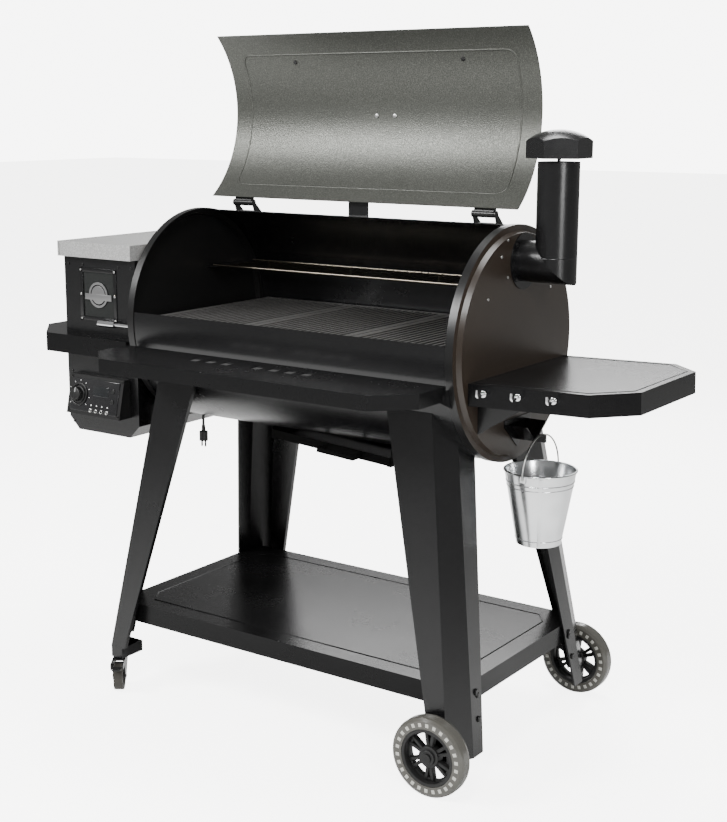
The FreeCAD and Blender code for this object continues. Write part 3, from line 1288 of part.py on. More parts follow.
def bucket():
    """The galvanised pail with its ears, and its wire bail."""
    wall = d["bucket_wall"]
    top, height = d["bucket_top_radius"], d["bucket_height"]
    foot = d["bucket_base_radius"]
    profile = [(0, 0), (foot, 0), (top, height), (top - wall, height), (foot - wall, 2 + wall), (0, 2 + wall)]
    ring = Part.makePolygon([vector(r, 0, h) for r, h in profile + profile[:1]])
    pail = Part.Face(ring).revolve(Vector(), Vector(0, 0, 1), 360)
    pail = Part.makeSolid(pail) if pail.ShapeType == "Shell" else pail
    bead = Part.makeTorus(float(top), float(d["bucket_bead"]), vector(0, 0, height))
    ridge_height = height * 0.86
    ridge = Part.makeTorus(float(foot + (top - foot) * 0.86 - 0.6), 1.8, vector(0, 0, ridge_height))
    inside_ring = Part.makePolygon([vector(r, 0, h) for r, h in (
        (0, 2 + wall), (foot - wall, 2 + wall), (top - wall, height), (top - wall, height + 9), (0, height + 9),
        (0, 2 + wall))])
    room = Part.Face(inside_ring).revolve(Vector(), Vector(0, 0, 1), 360)
    ear_z = height - d["ear_drop"]
    ear_half = d["ear_half"]
    ears = []
    for side in (-1, 1):
        ears.append(box_shape(-ear_half, ear_half, side * (top - 2.5), side * (top + 3.5), ear_z - ear_half,
                              ear_z + ear_half))
    pail = with_holes(joined_shape(pail, bead, ridge, *ears), room)
    for side in (-1, 1):
        pail = pail.cut(round_shape("Y", d["bail_wire"] + d["bearing_gap"], side * (top - 0.5), side * (top + 8), 0, ear_z))
    base = (d["bucket_x"], 0, d["bucket_rim_z"] - height)
    keep(shaped("pail", pail), "bucket", *base)
    arch = Part.Circle(vector(0, 0, ear_z), Vector(1, 0, 0), float(d["bail_radius"]))
    route = Part.Wire(Part.ArcOfCircle(arch, 0, math.pi).toShape())
    if route.BoundBox.ZMin < float(ear_z) - 1:
        route = Part.Wire(Part.ArcOfCircle(arch, -math.pi / 2, math.pi / 2).toShape())
    wire = swept(route, d["bail_wire"])
    ends = []
    for side in (-1, 1):
        at = side * d["bail_radius"]
        ends.append(Part.makeSphere(float(d["bail_wire"]), vector(0, at, ear_z)))
        ends.append(round_shape("Y", d["bail_wire"], side * (top + 0.4), at, 0, ear_z))
    keep(shaped("bail", wire.fuse(ends)), "bail", *base)


def ash_drawer():
    """A shallow drawer under the barrel, with its pull, and the runners it slides in."""
    half, front, rear = d["drawer_half"], -d["drawer_front"], d["drawer_rear"]
    low, wall = d["drawer_top"] - d["drawer_height"], d["drawer_wall"]
    tray = with_holes(
        box_shape(-half, half, front, rear, low, d["drawer_top"]),
        box_shape(wall - half, half - wall, front + wall, rear - wall, low + wall, d["drawer_top"] + 1),
    )
    middle_z = low + d["drawer_height"] / 2
    pull_y = front - d["pull_reach"]
    pull = [box_shape(x, x + 3, pull_y, front + 0.5, middle_z - 6, middle_z + 6)
            for x in (47 - d["pull_half"], 44 + d["pull_half"])]
    pull.append(box_shape(47 - d["pull_half"], 47 + d["pull_half"], pull_y, pull_y + 3, middle_z - 6,
                          middle_z + 6))
    drawer = joined_shape(tray, *pull)
    runners = []
    for side in (-1, 1):
        inside = side * (half + d["running_gap"])
        runners.append(box_shape(inside, inside + side * d["runner_wall"], front + 4, rear, low - 3, 740))
        runners.append(box_shape(inside + side, side * (half - d["runner_lip"]), front + 4, rear, low - 3,
                                 low - d["running_gap"]))
    rails = [joined_shape(runners[0], runners[1]), joined_shape(runners[2], runners[3])]
    pivot = vector(0, 0, d["drawer_top"])
    tilted = []
    for shape in (drawer, *rails):
        shape.rotate(pivot, Vector(0, 1, 0), float(d["drawer_tilt"]))
        shape.translate(vector(d["drawer_x"], 0, 0))
        tilted.append(shape)
    keep(shaped("drawer", tilted[0]), "ash_drawer")
    rails = Part.makeCompound([rail.cut(drum(d["seat_gap"])) for rail in tilted[1:]])
    keep(shaped("runners", rails), "drawer_runners")


# ---------------------------------------------------------------- cord

CORD_POINTS = [
    (-675, 217.5, 714), (-628, 218.5, 714), (-575, 216.5, 711), (-520, 217.5, 706), (-486, 186, 704),
    (-484.5, 122, 704), (-486, 62, 703.5), (-485, 20, 704), (-485, 5, 689), (-485, 5, 668),
]


def turn_radii(points):
    """The arc at each turn: as wide as the shorter of its two runs allows."""
    spots = [vector(*p) for p in points]
    radii = []
    for before, corner, after in zip(spots, spots[1:], spots[2:]):
        turn = (corner - before).getAngle(after - corner)
        shorter = min((corner - before).Length, (after - corner).Length)
        radii.append(min(0.45 * shorter / math.tan(turn / 2), 400))
    return radii


def power_cord():
    """The cord from its elbow on the hopper's back, with its spare length tied in a coil on a peg."""
    radii = turn_radii(CORD_POINTS)
    print("cord radii", [round(r, 1) for r in radii])
    route = rounded_route(CORD_POINTS, radii)
    tube = swept(route, d["cord_radius"])
    section = math.pi * float(d["cord_radius"]) ** 2
    print("cord length", round(route.Length, 1), "volume ratio", round(tube.Volume / section / route.Length, 4))
    keep(shaped("cord", tube), "power_cord")
    start, end = CORD_POINTS[0], CORD_POINTS[-1]
    rear = d["hopper_rear"] + d["seat_gap"]
    flange = round_shape("Y", d["gland_radius"] + 3, rear, rear + 4, start[0] - 9, start[2])
    elbow = box_shape(start[0] - 17, start[0] - 4, rear, start[1] + 7, start[2] - 7, start[2] + 7)
    boot = Part.makeCone(7, 5, 4, vector(start[0] - 4, start[1], start[2]), Vector(1, 0, 0))
    keep(shaped("gland", joined_shape(flange, elbow, boot)), "strain_relief")
    coil = Part.makeTorus(float(d["coil_radius"]), float(d["coil_bundle"]))
    coil.rotate(Vector(), Vector(1, 0, 0), 90)
    keep(shaped("coil", coil), "cord_coil", -d["coil_x"], d["hopper_rear"] + d["coil_stand_off"], d["coil_z"])
    low = end[2] - d["boot_length"]
    x, y = end[0], end[1]
    boot = Part.makeCone(float(d["boot_radius"]), float(d["boot_radius"] - 1.2), float(d["boot_length"]),
                         vector(x, y, low), Vector(0, 0, 1))
    shoulder = round_shape("Z", d["plug_radius"], low - d["plug_length"], low, x, y)
    prongs = [
        box_shape(x + side * 6.3 - 0.8, x + side * 6.3 + 0.8, y - 3, y + 3,
                  low - d["plug_length"] - d["prong_length"], low - d["plug_length"] + 1)
        for side in (-1, 1)
    ]
    earth = round_shape("Z", 2.4, low - d["plug_length"] - d["prong_length"] - 2, low - d["plug_length"] + 1, x,
                        y + 7)
    keep(shaped("plug", joined_shape(boot, shoulder, *prongs, earth)), "plug")


# ---------------------------------------------------------------- build, check, export

barrel_shell()
right_end_cap()
left_end_cap()
lid()
lid_handle()
barrel_hinge_brackets()
lid_hinge_straps()
legs()
bottom_shelf()
frame_bolts()
running_gear()
chimney_pipe()
chimney_cap()
side_shelf()
side_shelf_brackets()
tool_hooks()
front_shelf()
front_shelf_brackets()
hopper_shelf()
main_grates()
upper_rack()
broiler()
burn_pot()
auger()
hopper_body()
hopper_lid()
controls()
fan()
grease_chute()
bucket()
ash_drawer()
power_cord()

doc.recompute()
for thing in doc.Objects:
    if "Invalid" in thing.State or "Error" in thing.State:
        raise RuntimeError(f"{thing.Name} ({thing.Label}) did not recompute: {thing.State}")
os.makedirs("parts", exist_ok=True)
for thing in parts:
    if thing.Shape.isNull() or not thing.Shape.isValid() or not thing.Shape.Solids:
        raise RuntimeError(f"{thing.Label} has no valid solid")
    thing.Shape.exportStep(f"parts/{thing.Label}.step")
print(len(parts), "sub-parts written")
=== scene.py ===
import math
import bpy
from mathutils import Matrix, Vector


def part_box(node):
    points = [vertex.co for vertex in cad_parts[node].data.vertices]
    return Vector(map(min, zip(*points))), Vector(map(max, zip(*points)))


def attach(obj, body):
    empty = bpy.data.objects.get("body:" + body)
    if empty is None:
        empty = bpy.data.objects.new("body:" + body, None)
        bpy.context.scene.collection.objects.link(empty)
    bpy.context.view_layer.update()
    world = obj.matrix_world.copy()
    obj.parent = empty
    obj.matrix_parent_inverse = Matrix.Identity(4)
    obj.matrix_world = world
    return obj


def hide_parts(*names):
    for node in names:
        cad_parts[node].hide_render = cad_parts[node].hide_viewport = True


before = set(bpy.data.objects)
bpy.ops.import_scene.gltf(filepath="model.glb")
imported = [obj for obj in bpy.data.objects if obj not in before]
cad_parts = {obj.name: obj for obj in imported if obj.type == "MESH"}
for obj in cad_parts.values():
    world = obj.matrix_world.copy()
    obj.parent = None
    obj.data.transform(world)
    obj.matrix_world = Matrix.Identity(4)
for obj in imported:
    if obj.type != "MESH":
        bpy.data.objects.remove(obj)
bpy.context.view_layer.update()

# ---------------------------------------------------------------- camera, floor and light

# The drawing's zero is on the barrel's axis; the frame's is under the middle of the whole grill.
ZERO_X, ZERO_Y = 0.01373, 0.0455


def at(x, y, z):
    """A point given in millimetres from the barrel's middle, as a place in the frame."""
    return Vector((x / 1000 + ZERO_X, y / 1000 + ZERO_Y, z / 1000))


def set_camera():
    """The view from the right and in front, a little above the shelves."""
    data = bpy.data.cameras.new("camera")
    data.sensor_fit = "HORIZONTAL"
    data.sensor_width = 36
    data.lens = 71.06
    data.shift_x, data.shift_y = 0.0325, -0.008
    data.clip_end = 60
    camera = bpy.data.objects.new("camera", data)
    bpy.context.collection.objects.link(camera)
    camera.location = at(2088.6, -2943, 1532.3)
    camera.rotation_euler = (math.radians(90 - 11.73), 0, math.radians(35.56))
    bpy.context.scene.camera = camera


def area_light(name, place, target, size, power, colour=(1, 1, 1)):
    """A soft box at a place, aimed at a target."""
    data = bpy.data.lights.new(name, "AREA")
    data.shape = "RECTANGLE"
    data.size, data.size_y = size
    data.energy = power
    data.color = colour
    light = bpy.data.objects.new(name, data)
    bpy.context.collection.objects.link(light)
    light.location = place
    light.rotation_euler = (Vector(target) - Vector(place)).to_track_quat("-Z", "Y").to_euler()


def set_stage():
    """A pale room and floor, whiter where seen straight than in reflections, and five soft boxes."""
    world = bpy.data.worlds.new("room")
    world.use_nodes = True
    room = world.node_tree.nodes["Background"]
    room.inputs["Color"].default_value = (1, 0.998, 0.99, 1)
    seen_straight = world.node_tree.nodes.new("ShaderNodeLightPath").outputs["Is Camera Ray"]
    strength = maths(world.node_tree, "MULTIPLY_ADD", seen_straight, 7.0, 0.34)
    world.node_tree.links.new(strength, room.inputs["Strength"])
    bpy.context.scene.world = world
    bpy.ops.mesh.primitive_plane_add(size=60, location=(0, 0, -0.001))
    floor = bpy.context.active_object
    floor.name = "floor"
    white = bpy.data.materials.new("pale_floor")
    white.use_nodes = True
    shader = white.node_tree.nodes["Principled BSDF"]
    shader.inputs["Base Color"].default_value = (0.9, 0.9, 0.89, 1)
    shader.inputs["Roughness"].default_value = 0.9
    shader.inputs["Specular IOR Level"].default_value = 0.1
    shader.inputs["Emission Color"].default_value = (1, 0.998, 0.99, 1)
    seen_straight = white.node_tree.nodes.new("ShaderNodeLightPath").outputs["Is Camera Ray"]
    white.node_tree.links.new(maths(white.node_tree, "MULTIPLY", seen_straight, 5.2),
                              shader.inputs["Emission Strength"])
    floor.data.materials.append(white)
    area_light("key", (-2.6, -3.4, 3.6), (0, 0, 0.9), (1.4, 1.2), 290)
    area_light("fill", (3.6, -2.2, 2.0), (0.2, 0, 0.8), (0.7, 2.2), 120)
    area_light("top", (0.3, 0.6, 4.2), (0, 0, 1.0), (2.4, 1.2), 150)
    area_light("inside", (0.9, -2.1, 2.9), (0, 0.05, 1.0), (0.7, 0.7), 75)
    area_light("rear", (-1.5, 3.4, 2.6), (0, 0, 1.0), (2.4, 1.6), 110)


set_camera()


# ---------------------------------------------------------------- finishes


def new_group(name, inputs, outputs):
    """A shader group with float inputs and named outputs, reading Object coordinates."""
    group = bpy.data.node_groups.new(name, "ShaderNodeTree")
    for label, value in inputs:
        socket = group.interface.new_socket(label, in_out="INPUT", socket_type="NodeSocketFloat")
        socket.default_value = value
    for label in outputs:
        group.interface.new_socket(label, in_out="OUTPUT", socket_type="NodeSocketFloat")
    nodes = group.nodes
    return group, nodes.new("NodeGroupInput"), nodes.new("NodeGroupOutput")


def wire(tree, *pairs):
    """Link each pair of sockets."""
    for source, target in pairs:
        tree.links.new(source, target)


def maths(tree, operation, first, second=None, third=None):
    """A maths node on plain numbers or sockets."""
    node = tree.nodes.new("ShaderNodeMath")
    node.operation = operation
    node.use_clamp = False
    for socket, value in zip(node.inputs, (first, second, third)):
        if value is None:
            continue
        if isinstance(value, (int, float)):
            socket.default_value = value
        else:
            tree.links.new(value, socket)
    return node.outputs[0]


def noise(tree, scale, detail=3.0, vector=None):
    """Noise in object coordinates, unless given others."""
    node = tree.nodes.new("ShaderNodeTexNoise")
    node.inputs["Detail"].default_value = detail
    if isinstance(scale, (int, float)):
        node.inputs["Scale"].default_value = scale
    else:
        tree.links.new(scale, node.inputs["Scale"])
    source = vector or tree.nodes.new("ShaderNodeTexCoord").outputs["Object"]
    tree.links.new(source, node.inputs["Vector"])
    return node.outputs["Fac"]


def grain_group():
    """Fine texture of powder coat: orange peel with brighter grains."""
    group, given, result = new_group("powder_grain", [("Scale", 1.0)], ["Height", "Sparkle"])
    peel = noise(group, maths(group, "MULTIPLY", given.outputs["Scale"], 420), 2)
    grain = noise(group, maths(group, "MULTIPLY", given.outputs["Scale"], 1100), 1)
    height = maths(group, "ADD", maths(group, "MULTIPLY", peel, 0.7), maths(group, "MULTIPLY", grain, 0.3))
    bright = maths(group, "SUBTRACT", grain, 0.62)
    wire(group, (height, result.inputs["Height"]),
         (maths(group, "MAXIMUM", maths(group, "MULTIPLY", bright, 5), 0), result.inputs["Sparkle"]))
    return group


def hammer_group():
    """Hammered paint: rounded dimples of uneven size with a paler ridge between them."""
    group, given, result = new_group("hammered", [("Scale", 1.0)], ["Height", "Ridge"])
    coordinates = group.nodes.new("ShaderNodeTexCoord").outputs["Object"]
    cells = group.nodes.new("ShaderNodeTexVoronoi")
    cells.feature = "SMOOTH_F1"
    cells.inputs["Smoothness"].default_value = 0.6
    wire(group, (maths(group, "MULTIPLY", given.outputs["Scale"], 170), cells.inputs["Scale"]),
         (coordinates, cells.inputs["Vector"]))
    soft = noise(group, maths(group, "MULTIPLY", given.outputs["Scale"], 320), 2, coordinates)
    height = maths(group, "ADD", cells.outputs["Distance"], maths(group, "MULTIPLY", soft, 0.6))
    wire(group, (height, result.inputs["Height"]), (cells.outputs["Distance"], result.inputs["Ridge"]))
    return group


def marks_group():
    """Handling: broad smears that change the gloss, and a little dust on faces that look up."""
    group, given, result = new_group("handling", [("Smear", 0.1), ("Dust", 0.1)], ["Gloss", "Dust"])
    broad = maths(group, "SUBTRACT", noise(group, 5, 4), 0.5)
    fine = maths(group, "SUBTRACT", noise(group, 60, 3), 0.5)
    gloss = maths(group, "MULTIPLY", maths(group, "ADD", broad, maths(group, "MULTIPLY", fine, 0.4)),
                  given.outputs["Smear"])
    normal = group.nodes.new("ShaderNodeNewGeometry").outputs["Normal"]
    split = group.nodes.new("ShaderNodeSeparateXYZ")
    wire(group, (normal, split.inputs[0]))
    facing = maths(group, "MAXIMUM", split.outputs["Z"], 0)
    patchy = maths(group, "MULTIPLY", noise(group, 26, 5), given.outputs["Dust"])
    wire(group, (gloss, result.inputs["Gloss"]),
         (maths(group, "MULTIPLY", facing, patchy), result.inputs["Dust"]))
    return group


def outside_group():
    """A mask that is one on faces that look away from the middle of the barrel's length."""
    group, given, result = new_group("outer_side", [("Middle", 0.0)], ["Outer"])
    where = group.nodes.new("ShaderNodeSeparateXYZ")
    looks = group.nodes.new("ShaderNodeSeparateXYZ")
    wire(group, (group.nodes.new("ShaderNodeTexCoord").outputs["Object"], where.inputs[0]),
         (group.nodes.new("ShaderNodeNewGeometry").outputs["Normal"], looks.inputs[0]))
    away = maths(group, "MULTIPLY", maths(group, "SUBTRACT", where.outputs["X"], given.outputs["Middle"]),
                 looks.outputs["X"])
    wire(group, (maths(group, "GREATER_THAN", away, 0.02), result.inputs["Outer"]))
    return group


set_stage()
GRAIN, HAMMER, MARKS, OUTSIDE = grain_group(), hammer_group(), marks_group(), outside_group()


def finish(name, colour, pale=None, metallic=0.0, roughness=0.4, relief=None, scale=1.0, depth=0.0,
           smear=0.12, dust=0.06, coat=0.0, lift=0.6, transmission=0.0, alpha=1.0, specular=0.5):
    """One finish: a base colour that the relief lightens, worn by handling and dust."""
    material = bpy.data.materials.new(name)
    material.use_nodes = True
    tree = material.node_tree
    shader = tree.nodes["Principled BSDF"]
    shader.inputs["Metallic"].default_value = metallic
    shader.inputs["Coat Weight"].default_value = coat
    shader.inputs["Coat Roughness"].default_value = 0.12
    shader.inputs["Specular IOR Level"].default_value = specular
    shader.inputs["Transmission Weight"].default_value = transmission
    shader.inputs["Alpha"].default_value = alpha
    marks = tree.nodes.new("ShaderNodeGroup")
    marks.node_tree = MARKS
    marks.inputs["Smear"].default_value = smear
    marks.inputs["Dust"].default_value = dust
    wire(tree, (maths(tree, "ADD", marks.outputs["Gloss"], roughness), shader.inputs["Roughness"]))
    dusty = tree.nodes.new("ShaderNodeMix")
    dusty.data_type = "RGBA"
    dusty.inputs[7].default_value = (0.35, 0.34, 0.32, 1)
    wire(tree, (marks.outputs["Dust"], dusty.inputs[0]), (dusty.outputs[2], shader.inputs["Base Color"]))
    if relief is None:
        dusty.inputs[6].default_value = (*colour, 1)
        return material
    texture = tree.nodes.new("ShaderNodeGroup")
    texture.node_tree = relief
    texture.inputs["Scale"].default_value = scale
    bump = tree.nodes.new("ShaderNodeBump")
    bump.inputs["Strength"].default_value = lift
    bump.inputs["Distance"].default_value = depth
    tint = tree.nodes.new("ShaderNodeMix")
    tint.data_type = "RGBA"
    tint.inputs[6].default_value = (*colour, 1)
    tint.inputs[7].default_value = (*(pale or colour), 1)
    wire(tree, (texture.outputs["Height"], bump.inputs["Height"]),
         (bump.outputs["Normal"], shader.inputs["Normal"]),
         (texture.outputs[1], tint.inputs[0]), (tint.outputs[2], dusty.inputs[6]))
    return material


def darken_inside(material):
    """Make a finish black on the faces that look towards the middle of the barrel."""
    tree = material.node_tree
    shader = tree.nodes["Principled BSDF"]
    side = tree.nodes.new("ShaderNodeGroup")
    side.node_tree = OUTSIDE
    side.inputs["Middle"].default_value = ZERO_X
    blend = tree.nodes.new("ShaderNodeMix")
    blend.data_type = "RGBA"
    blend.inputs[6].default_value = (0.004, 0.004, 0.004, 1)
    outer = shader.inputs["Base Color"].links[0].from_socket
    wire(tree, (side.outputs["Outer"], blend.inputs[0]), (outer, blend.inputs[7]),
         (blend.outputs[2], shader.inputs["Base Color"]))


black_coat = finish("black_powder_coat", (0.0035, 0.0035, 0.0038), (0.02, 0.02, 0.021), roughness=0.25,
                    relief=GRAIN, depth=0.0006, dust=0.006, lift=0.5, specular=0.42)
shelf_coat = finish("smooth_shelf_coat", (0.0035, 0.0035, 0.0037), (0.012, 0.012, 0.012), roughness=0.26,
                    relief=GRAIN, scale=0.8, depth=0.0003, dust=0.004, lift=0.35, specular=0.13)
cap_coat = finish("brown_black_coat", (0.019, 0.0135, 0.0095), (0.05, 0.038, 0.03), roughness=0.33,
                  relief=GRAIN, depth=0.0004, dust=0.01, lift=0.35, specular=0.4)
lid_coat = finish("hammered_black_coat", (0.028, 0.029, 0.026), (0.115, 0.118, 0.105), metallic=0.5,
                  roughness=0.33, relief=HAMMER, scale=2.6, depth=0.0005, dust=0.01, specular=0.3)
silver_coat = finish("hammered_silver_coat", (0.36, 0.36, 0.355), (0.78, 0.78, 0.77), metallic=0.75,
                     roughness=0.34, relief=HAMMER, scale=2.2, depth=0.0007, dust=0.01)
soot = finish("sooty_black", (0.004, 0.004, 0.004), (0.012, 0.011, 0.01), roughness=0.85, relief=GRAIN,
              depth=0.0004, dust=0.0, specular=0.08)
chrome = finish("chrome_plate", (0.74, 0.74, 0.75), metallic=1, roughness=0.09, smear=0.05, dust=0.02)
rack_wire = finish("nickel_wire", (0.17, 0.15, 0.12), metallic=1, roughness=0.3, smear=0.1, dust=0.01)
zinc = finish("zinc_plate", (0.52, 0.52, 0.51), (0.6, 0.6, 0.6), metallic=1, roughness=0.28, relief=GRAIN,
              scale=0.5, depth=0.0002, dust=0.03)
black_zinc = finish("black_zinc", (0.018, 0.018, 0.018), metallic=0.5, roughness=0.28, dust=0.01,
                    specular=0.35)
galvanised = finish("bright_galvanised", (0.60, 0.61, 0.62), (0.78, 0.79, 0.80), metallic=1, roughness=0.2,
                    relief=HAMMER, scale=0.12, depth=0.0006, lift=0.2, smear=0.16, dust=0.02)
cast_iron = finish("cast_iron", (0.022, 0.0215, 0.021), (0.085, 0.083, 0.08), roughness=0.4, relief=HAMMER,
                   scale=1.7, depth=0.0005, dust=0.01, specular=0.6)
bare_steel = finish("rolled_steel", (0.10, 0.095, 0.09), (0.16, 0.15, 0.14), metallic=0.9, roughness=0.42,
                    relief=GRAIN, depth=0.0003, dust=0.06)
black_plastic = finish("moulded_black", (0.006, 0.006, 0.006), (0.02, 0.02, 0.02), roughness=0.4,
                       relief=GRAIN, scale=1.2, depth=0.0003, dust=0.01, specular=0.35)
grey_rubber = finish("caster_rubber", (0.04, 0.037, 0.032), (0.075, 0.07, 0.06), roughness=0.5, relief=GRAIN,
                     depth=0.0004, dust=0.02, specular=0.3)
cord_skin = finish("cord_skin", (0.012, 0.012, 0.012), (0.04, 0.04, 0.04), roughness=0.45, relief=GRAIN,
                   scale=1.5, depth=0.0002)
smoky = finish("smoky_tyre", (0.085, 0.082, 0.072), (0.14, 0.135, 0.12), roughness=0.16, relief=GRAIN,
               scale=0.6, depth=0.0004, transmission=0.25, smear=0.1, dust=0.01)
pocket_light = finish("tyre_pocket", (0.40, 0.395, 0.36), roughness=0.2, coat=0.4, dust=0.01)
glass = finish("smoked_glass", (0.03, 0.032, 0.031), roughness=0.04, transmission=0.5, smear=0.04, dust=0.0,
               specular=0.25)
white_print = finish("pale_print", (0.6, 0.6, 0.6), roughness=0.5)
gloss_black = finish("gloss_black", (0.008, 0.008, 0.009), roughness=0.12, smear=0.08, coat=0.5)
screen_glass = finish("screen_glass", (0.004, 0.005, 0.006), roughness=0.05, smear=0.03, coat=1.0)
pale_plate = finish("pale_plate", (0.20, 0.20, 0.20), (0.3, 0.3, 0.3), metallic=0.7, roughness=0.35,
                    relief=GRAIN, depth=0.0002)
# Painted shade: a near-black finish for the slab behind the window, standing in for the dark inside of the
# hopper; its bumpy relief suggests pellets.
hopper_shade_paint = finish("painted_hopper_shade", (0.008, 0.006, 0.005), (0.02, 0.015, 0.01), roughness=0.7, relief=HAMMER,
                 scale=0.9, depth=0.003)


FINISHES = {
    black_coat: "barrel_shell front_right_leg front_left_leg rear_right_leg rear_left_leg chimney_pipe "
                "chimney_cap side_shelf_brackets front_shelf_brackets hopper_body caster_cups "
                "grease_chute front_caster_fork rear_caster_fork",
    soot: "ash_drawer drawer_runners",
    shelf_coat: "side_shelf front_shelf hopper_shelf bottom_shelf",
    cap_coat: "right_end_cap left_end_cap",
    lid_coat: "lid",
    silver_coat: "hopper_lid",
    chrome: "tool_hooks broiler_lever",
    rack_wire: "upper_rack",
    zinc: "bail lid_handle igniter auger auger_tube fan_wheel",
    black_zinc: "frame_bolts wheel_axles barrel_hinge_brackets lid_hinge_straps",
    galvanised: "bucket",
    bare_steel: "burn_pot broiler_plate broiler_slide",
    cast_iron: "main_grate_1 main_grate_2 main_grate_3",
    black_plastic: "front_wheel rear_wheel front_caster_brake rear_caster_brake control_knob "
                   "control_housing auger_motor strain_relief plug",
    smoky: "front_tyre rear_tyre",
    grey_rubber: "front_caster_wheel rear_caster_wheel",
    cord_skin: "power_cord cord_coil",
    glass: "window_glass",
}


darken_inside(cap_coat)


def dress_nodes():
    """Give every carried-over node its finish."""
    for material, names in FINISHES.items():
        for name in names.split():
            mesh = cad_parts[name].data
            mesh.materials.clear()
            mesh.materials.append(material)


dress_nodes()


# ---------------------------------------------------------------- making and placing pieces


def start():
    """Leave edit mode with nothing selected, so that an operator acts only on what is added next."""
    if bpy.context.mode != "OBJECT":
        bpy.ops.object.mode_set(mode="OBJECT")
    bpy.ops.object.select_all(action="DESELECT")


def apply_modifier(kind, **settings):
    """Put a modifier on the active piece and apply it."""
    piece = bpy.context.active_object
    modifier = piece.modifiers.new(kind.lower(), kind)
    for name, value in settings.items():
        setattr(modifier, name, value)
    bpy.ops.object.modifier_apply(modifier=modifier.name)


def done(name, material, body, *stands_for, smooth=35):
    """Name the piece just made, settle its place into its mesh, and let it ride on its body."""
    piece = bpy.context.active_object
    piece.name = name
    bpy.ops.object.transform_apply(location=True, rotation=True, scale=True)
    piece.data.materials.clear()
    piece.data.materials.append(material)
    bpy.ops.object.shade_smooth_by_angle(angle=math.radians(smooth))
    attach(piece, body)
    if stands_for:
        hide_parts(*stands_for)
    return piece


def facing(place, normal, up=Vector((0, 0, 1))):
    """A matrix at a place whose Z is the normal and whose Y is as near to up as it can be."""
    z = Vector(normal).normalized()
    x = Vector(up).cross(z).normalized()
    y = z.cross(x)
    turn = Matrix((x, y, z)).transposed()
    return Matrix.Translation(place) @ turn.to_4x4()


def moved(by):
    """A matrix that shifts without turning."""
    return Matrix.Translation(by)


def put(matrix):
    """Move the active piece by a matrix, within its mesh."""
    piece = bpy.context.active_object
    bpy.ops.object.transform_apply(location=True, rotation=True, scale=True)
    piece.data.transform(matrix)


def button(radius, height, matrix, sides=24, soft=0.45):
    """A domed head standing on a face."""
    start()
    bpy.ops.mesh.primitive_cylinder_add(vertices=sides, radius=radius, depth=height,
                                        location=(0, 0, height / 2))
    apply_modifier("BEVEL", width=height * soft, segments=3, limit_method="ANGLE")
    put(matrix)
    return bpy.context.active_object


def slab(width, depth, height, matrix, soft=0.001, segments=3):
    """A block with softened edges, standing on a face."""
    start()
    bpy.ops.mesh.primitive_cube_add(size=1, location=(0, 0, height / 2))
    bpy.context.active_object.scale = (width, depth, height)
    bpy.ops.object.transform_apply(location=True, rotation=True, scale=True)
    apply_modifier("BEVEL", width=soft, segments=segments, limit_method="ANGLE")
    put(matrix)
    return bpy.context.active_object


def ring(outer, inner, height, matrix, sides=40):
    """A flat ring with softened edges: a disc inset, with its middle taken out, and thickened."""
    start()
    bpy.ops.mesh.primitive_circle_add(vertices=sides, radius=outer, fill_type="NGON")
    bpy.ops.object.mode_set(mode="EDIT")
    bpy.ops.mesh.select_all(action="SELECT")
    bpy.ops.mesh.inset(thickness=outer - inner)
    bpy.ops.mesh.delete(type="FACE")
    bpy.ops.object.mode_set(mode="OBJECT")
    apply_modifier("SOLIDIFY", thickness=height, offset=1)
    apply_modifier("BEVEL", width=height * 0.3, segments=2, limit_method="ANGLE")
    put(matrix)
    return bpy.context.active_object


def merged(pieces):
    """Join several pieces into one mesh."""
    start()
    for piece in pieces:
        piece.select_set(True)
    bpy.context.view_layer.objects.active = pieces[0]
    bpy.ops.object.join()
    return bpy.context.active_object


def bead(name, points, radius, material, body, closed=True):
    """A raised line pressed into sheet, along points on its face."""
    start()
    data = bpy.data.curves.new(name, "CURVE")
    data.dimensions = "3D"
    data.bevel_depth = radius
    data.bevel_resolution = 3
    line = data.splines.new("POLY")
    line.points.add(len(points) - 1)
    for spot, point in zip(line.points, points):
        spot.co = (*point, 1)
    line.use_cyclic_u = closed
    curve = bpy.data.objects.new(name, data)
    bpy.context.collection.objects.link(curve)
    curve.select_set(True)
    bpy.context.view_layer.objects.active = curve
    bpy.ops.object.convert(target="MESH")
    return done(name, material, body, smooth=60)


# ---------------------------------------------------------------- lid

HINGE = at(0, 55, 1283.5)
OPEN = Matrix.Translation(HINGE) @ Matrix.Rotation(math.radians(-131.5), 4, "X") @ Matrix.Translation(-HINGE)


# How far the lid's inner face is from the barrel's axis, in millimetres.
LID_FACE = 278.5


def on_lid(x, angle, radius=LID_FACE):
    """A point on the lid at an angle round the closed barrel, on the lid as it stands open."""
    turn = math.radians(angle)
    return OPEN @ at(x, radius * math.cos(turn), 988 + radius * math.sin(turn))


def lid_frame(x, angle, radius=LID_FACE, inward=True):
    """A place on the lid, facing into the barrel or out of it."""
    place = on_lid(x, angle, radius)
    towards = on_lid(x, angle, radius - 10 if inward else radius + 10) - place
    return facing(place, towards, Vector((1, 0, 0)))


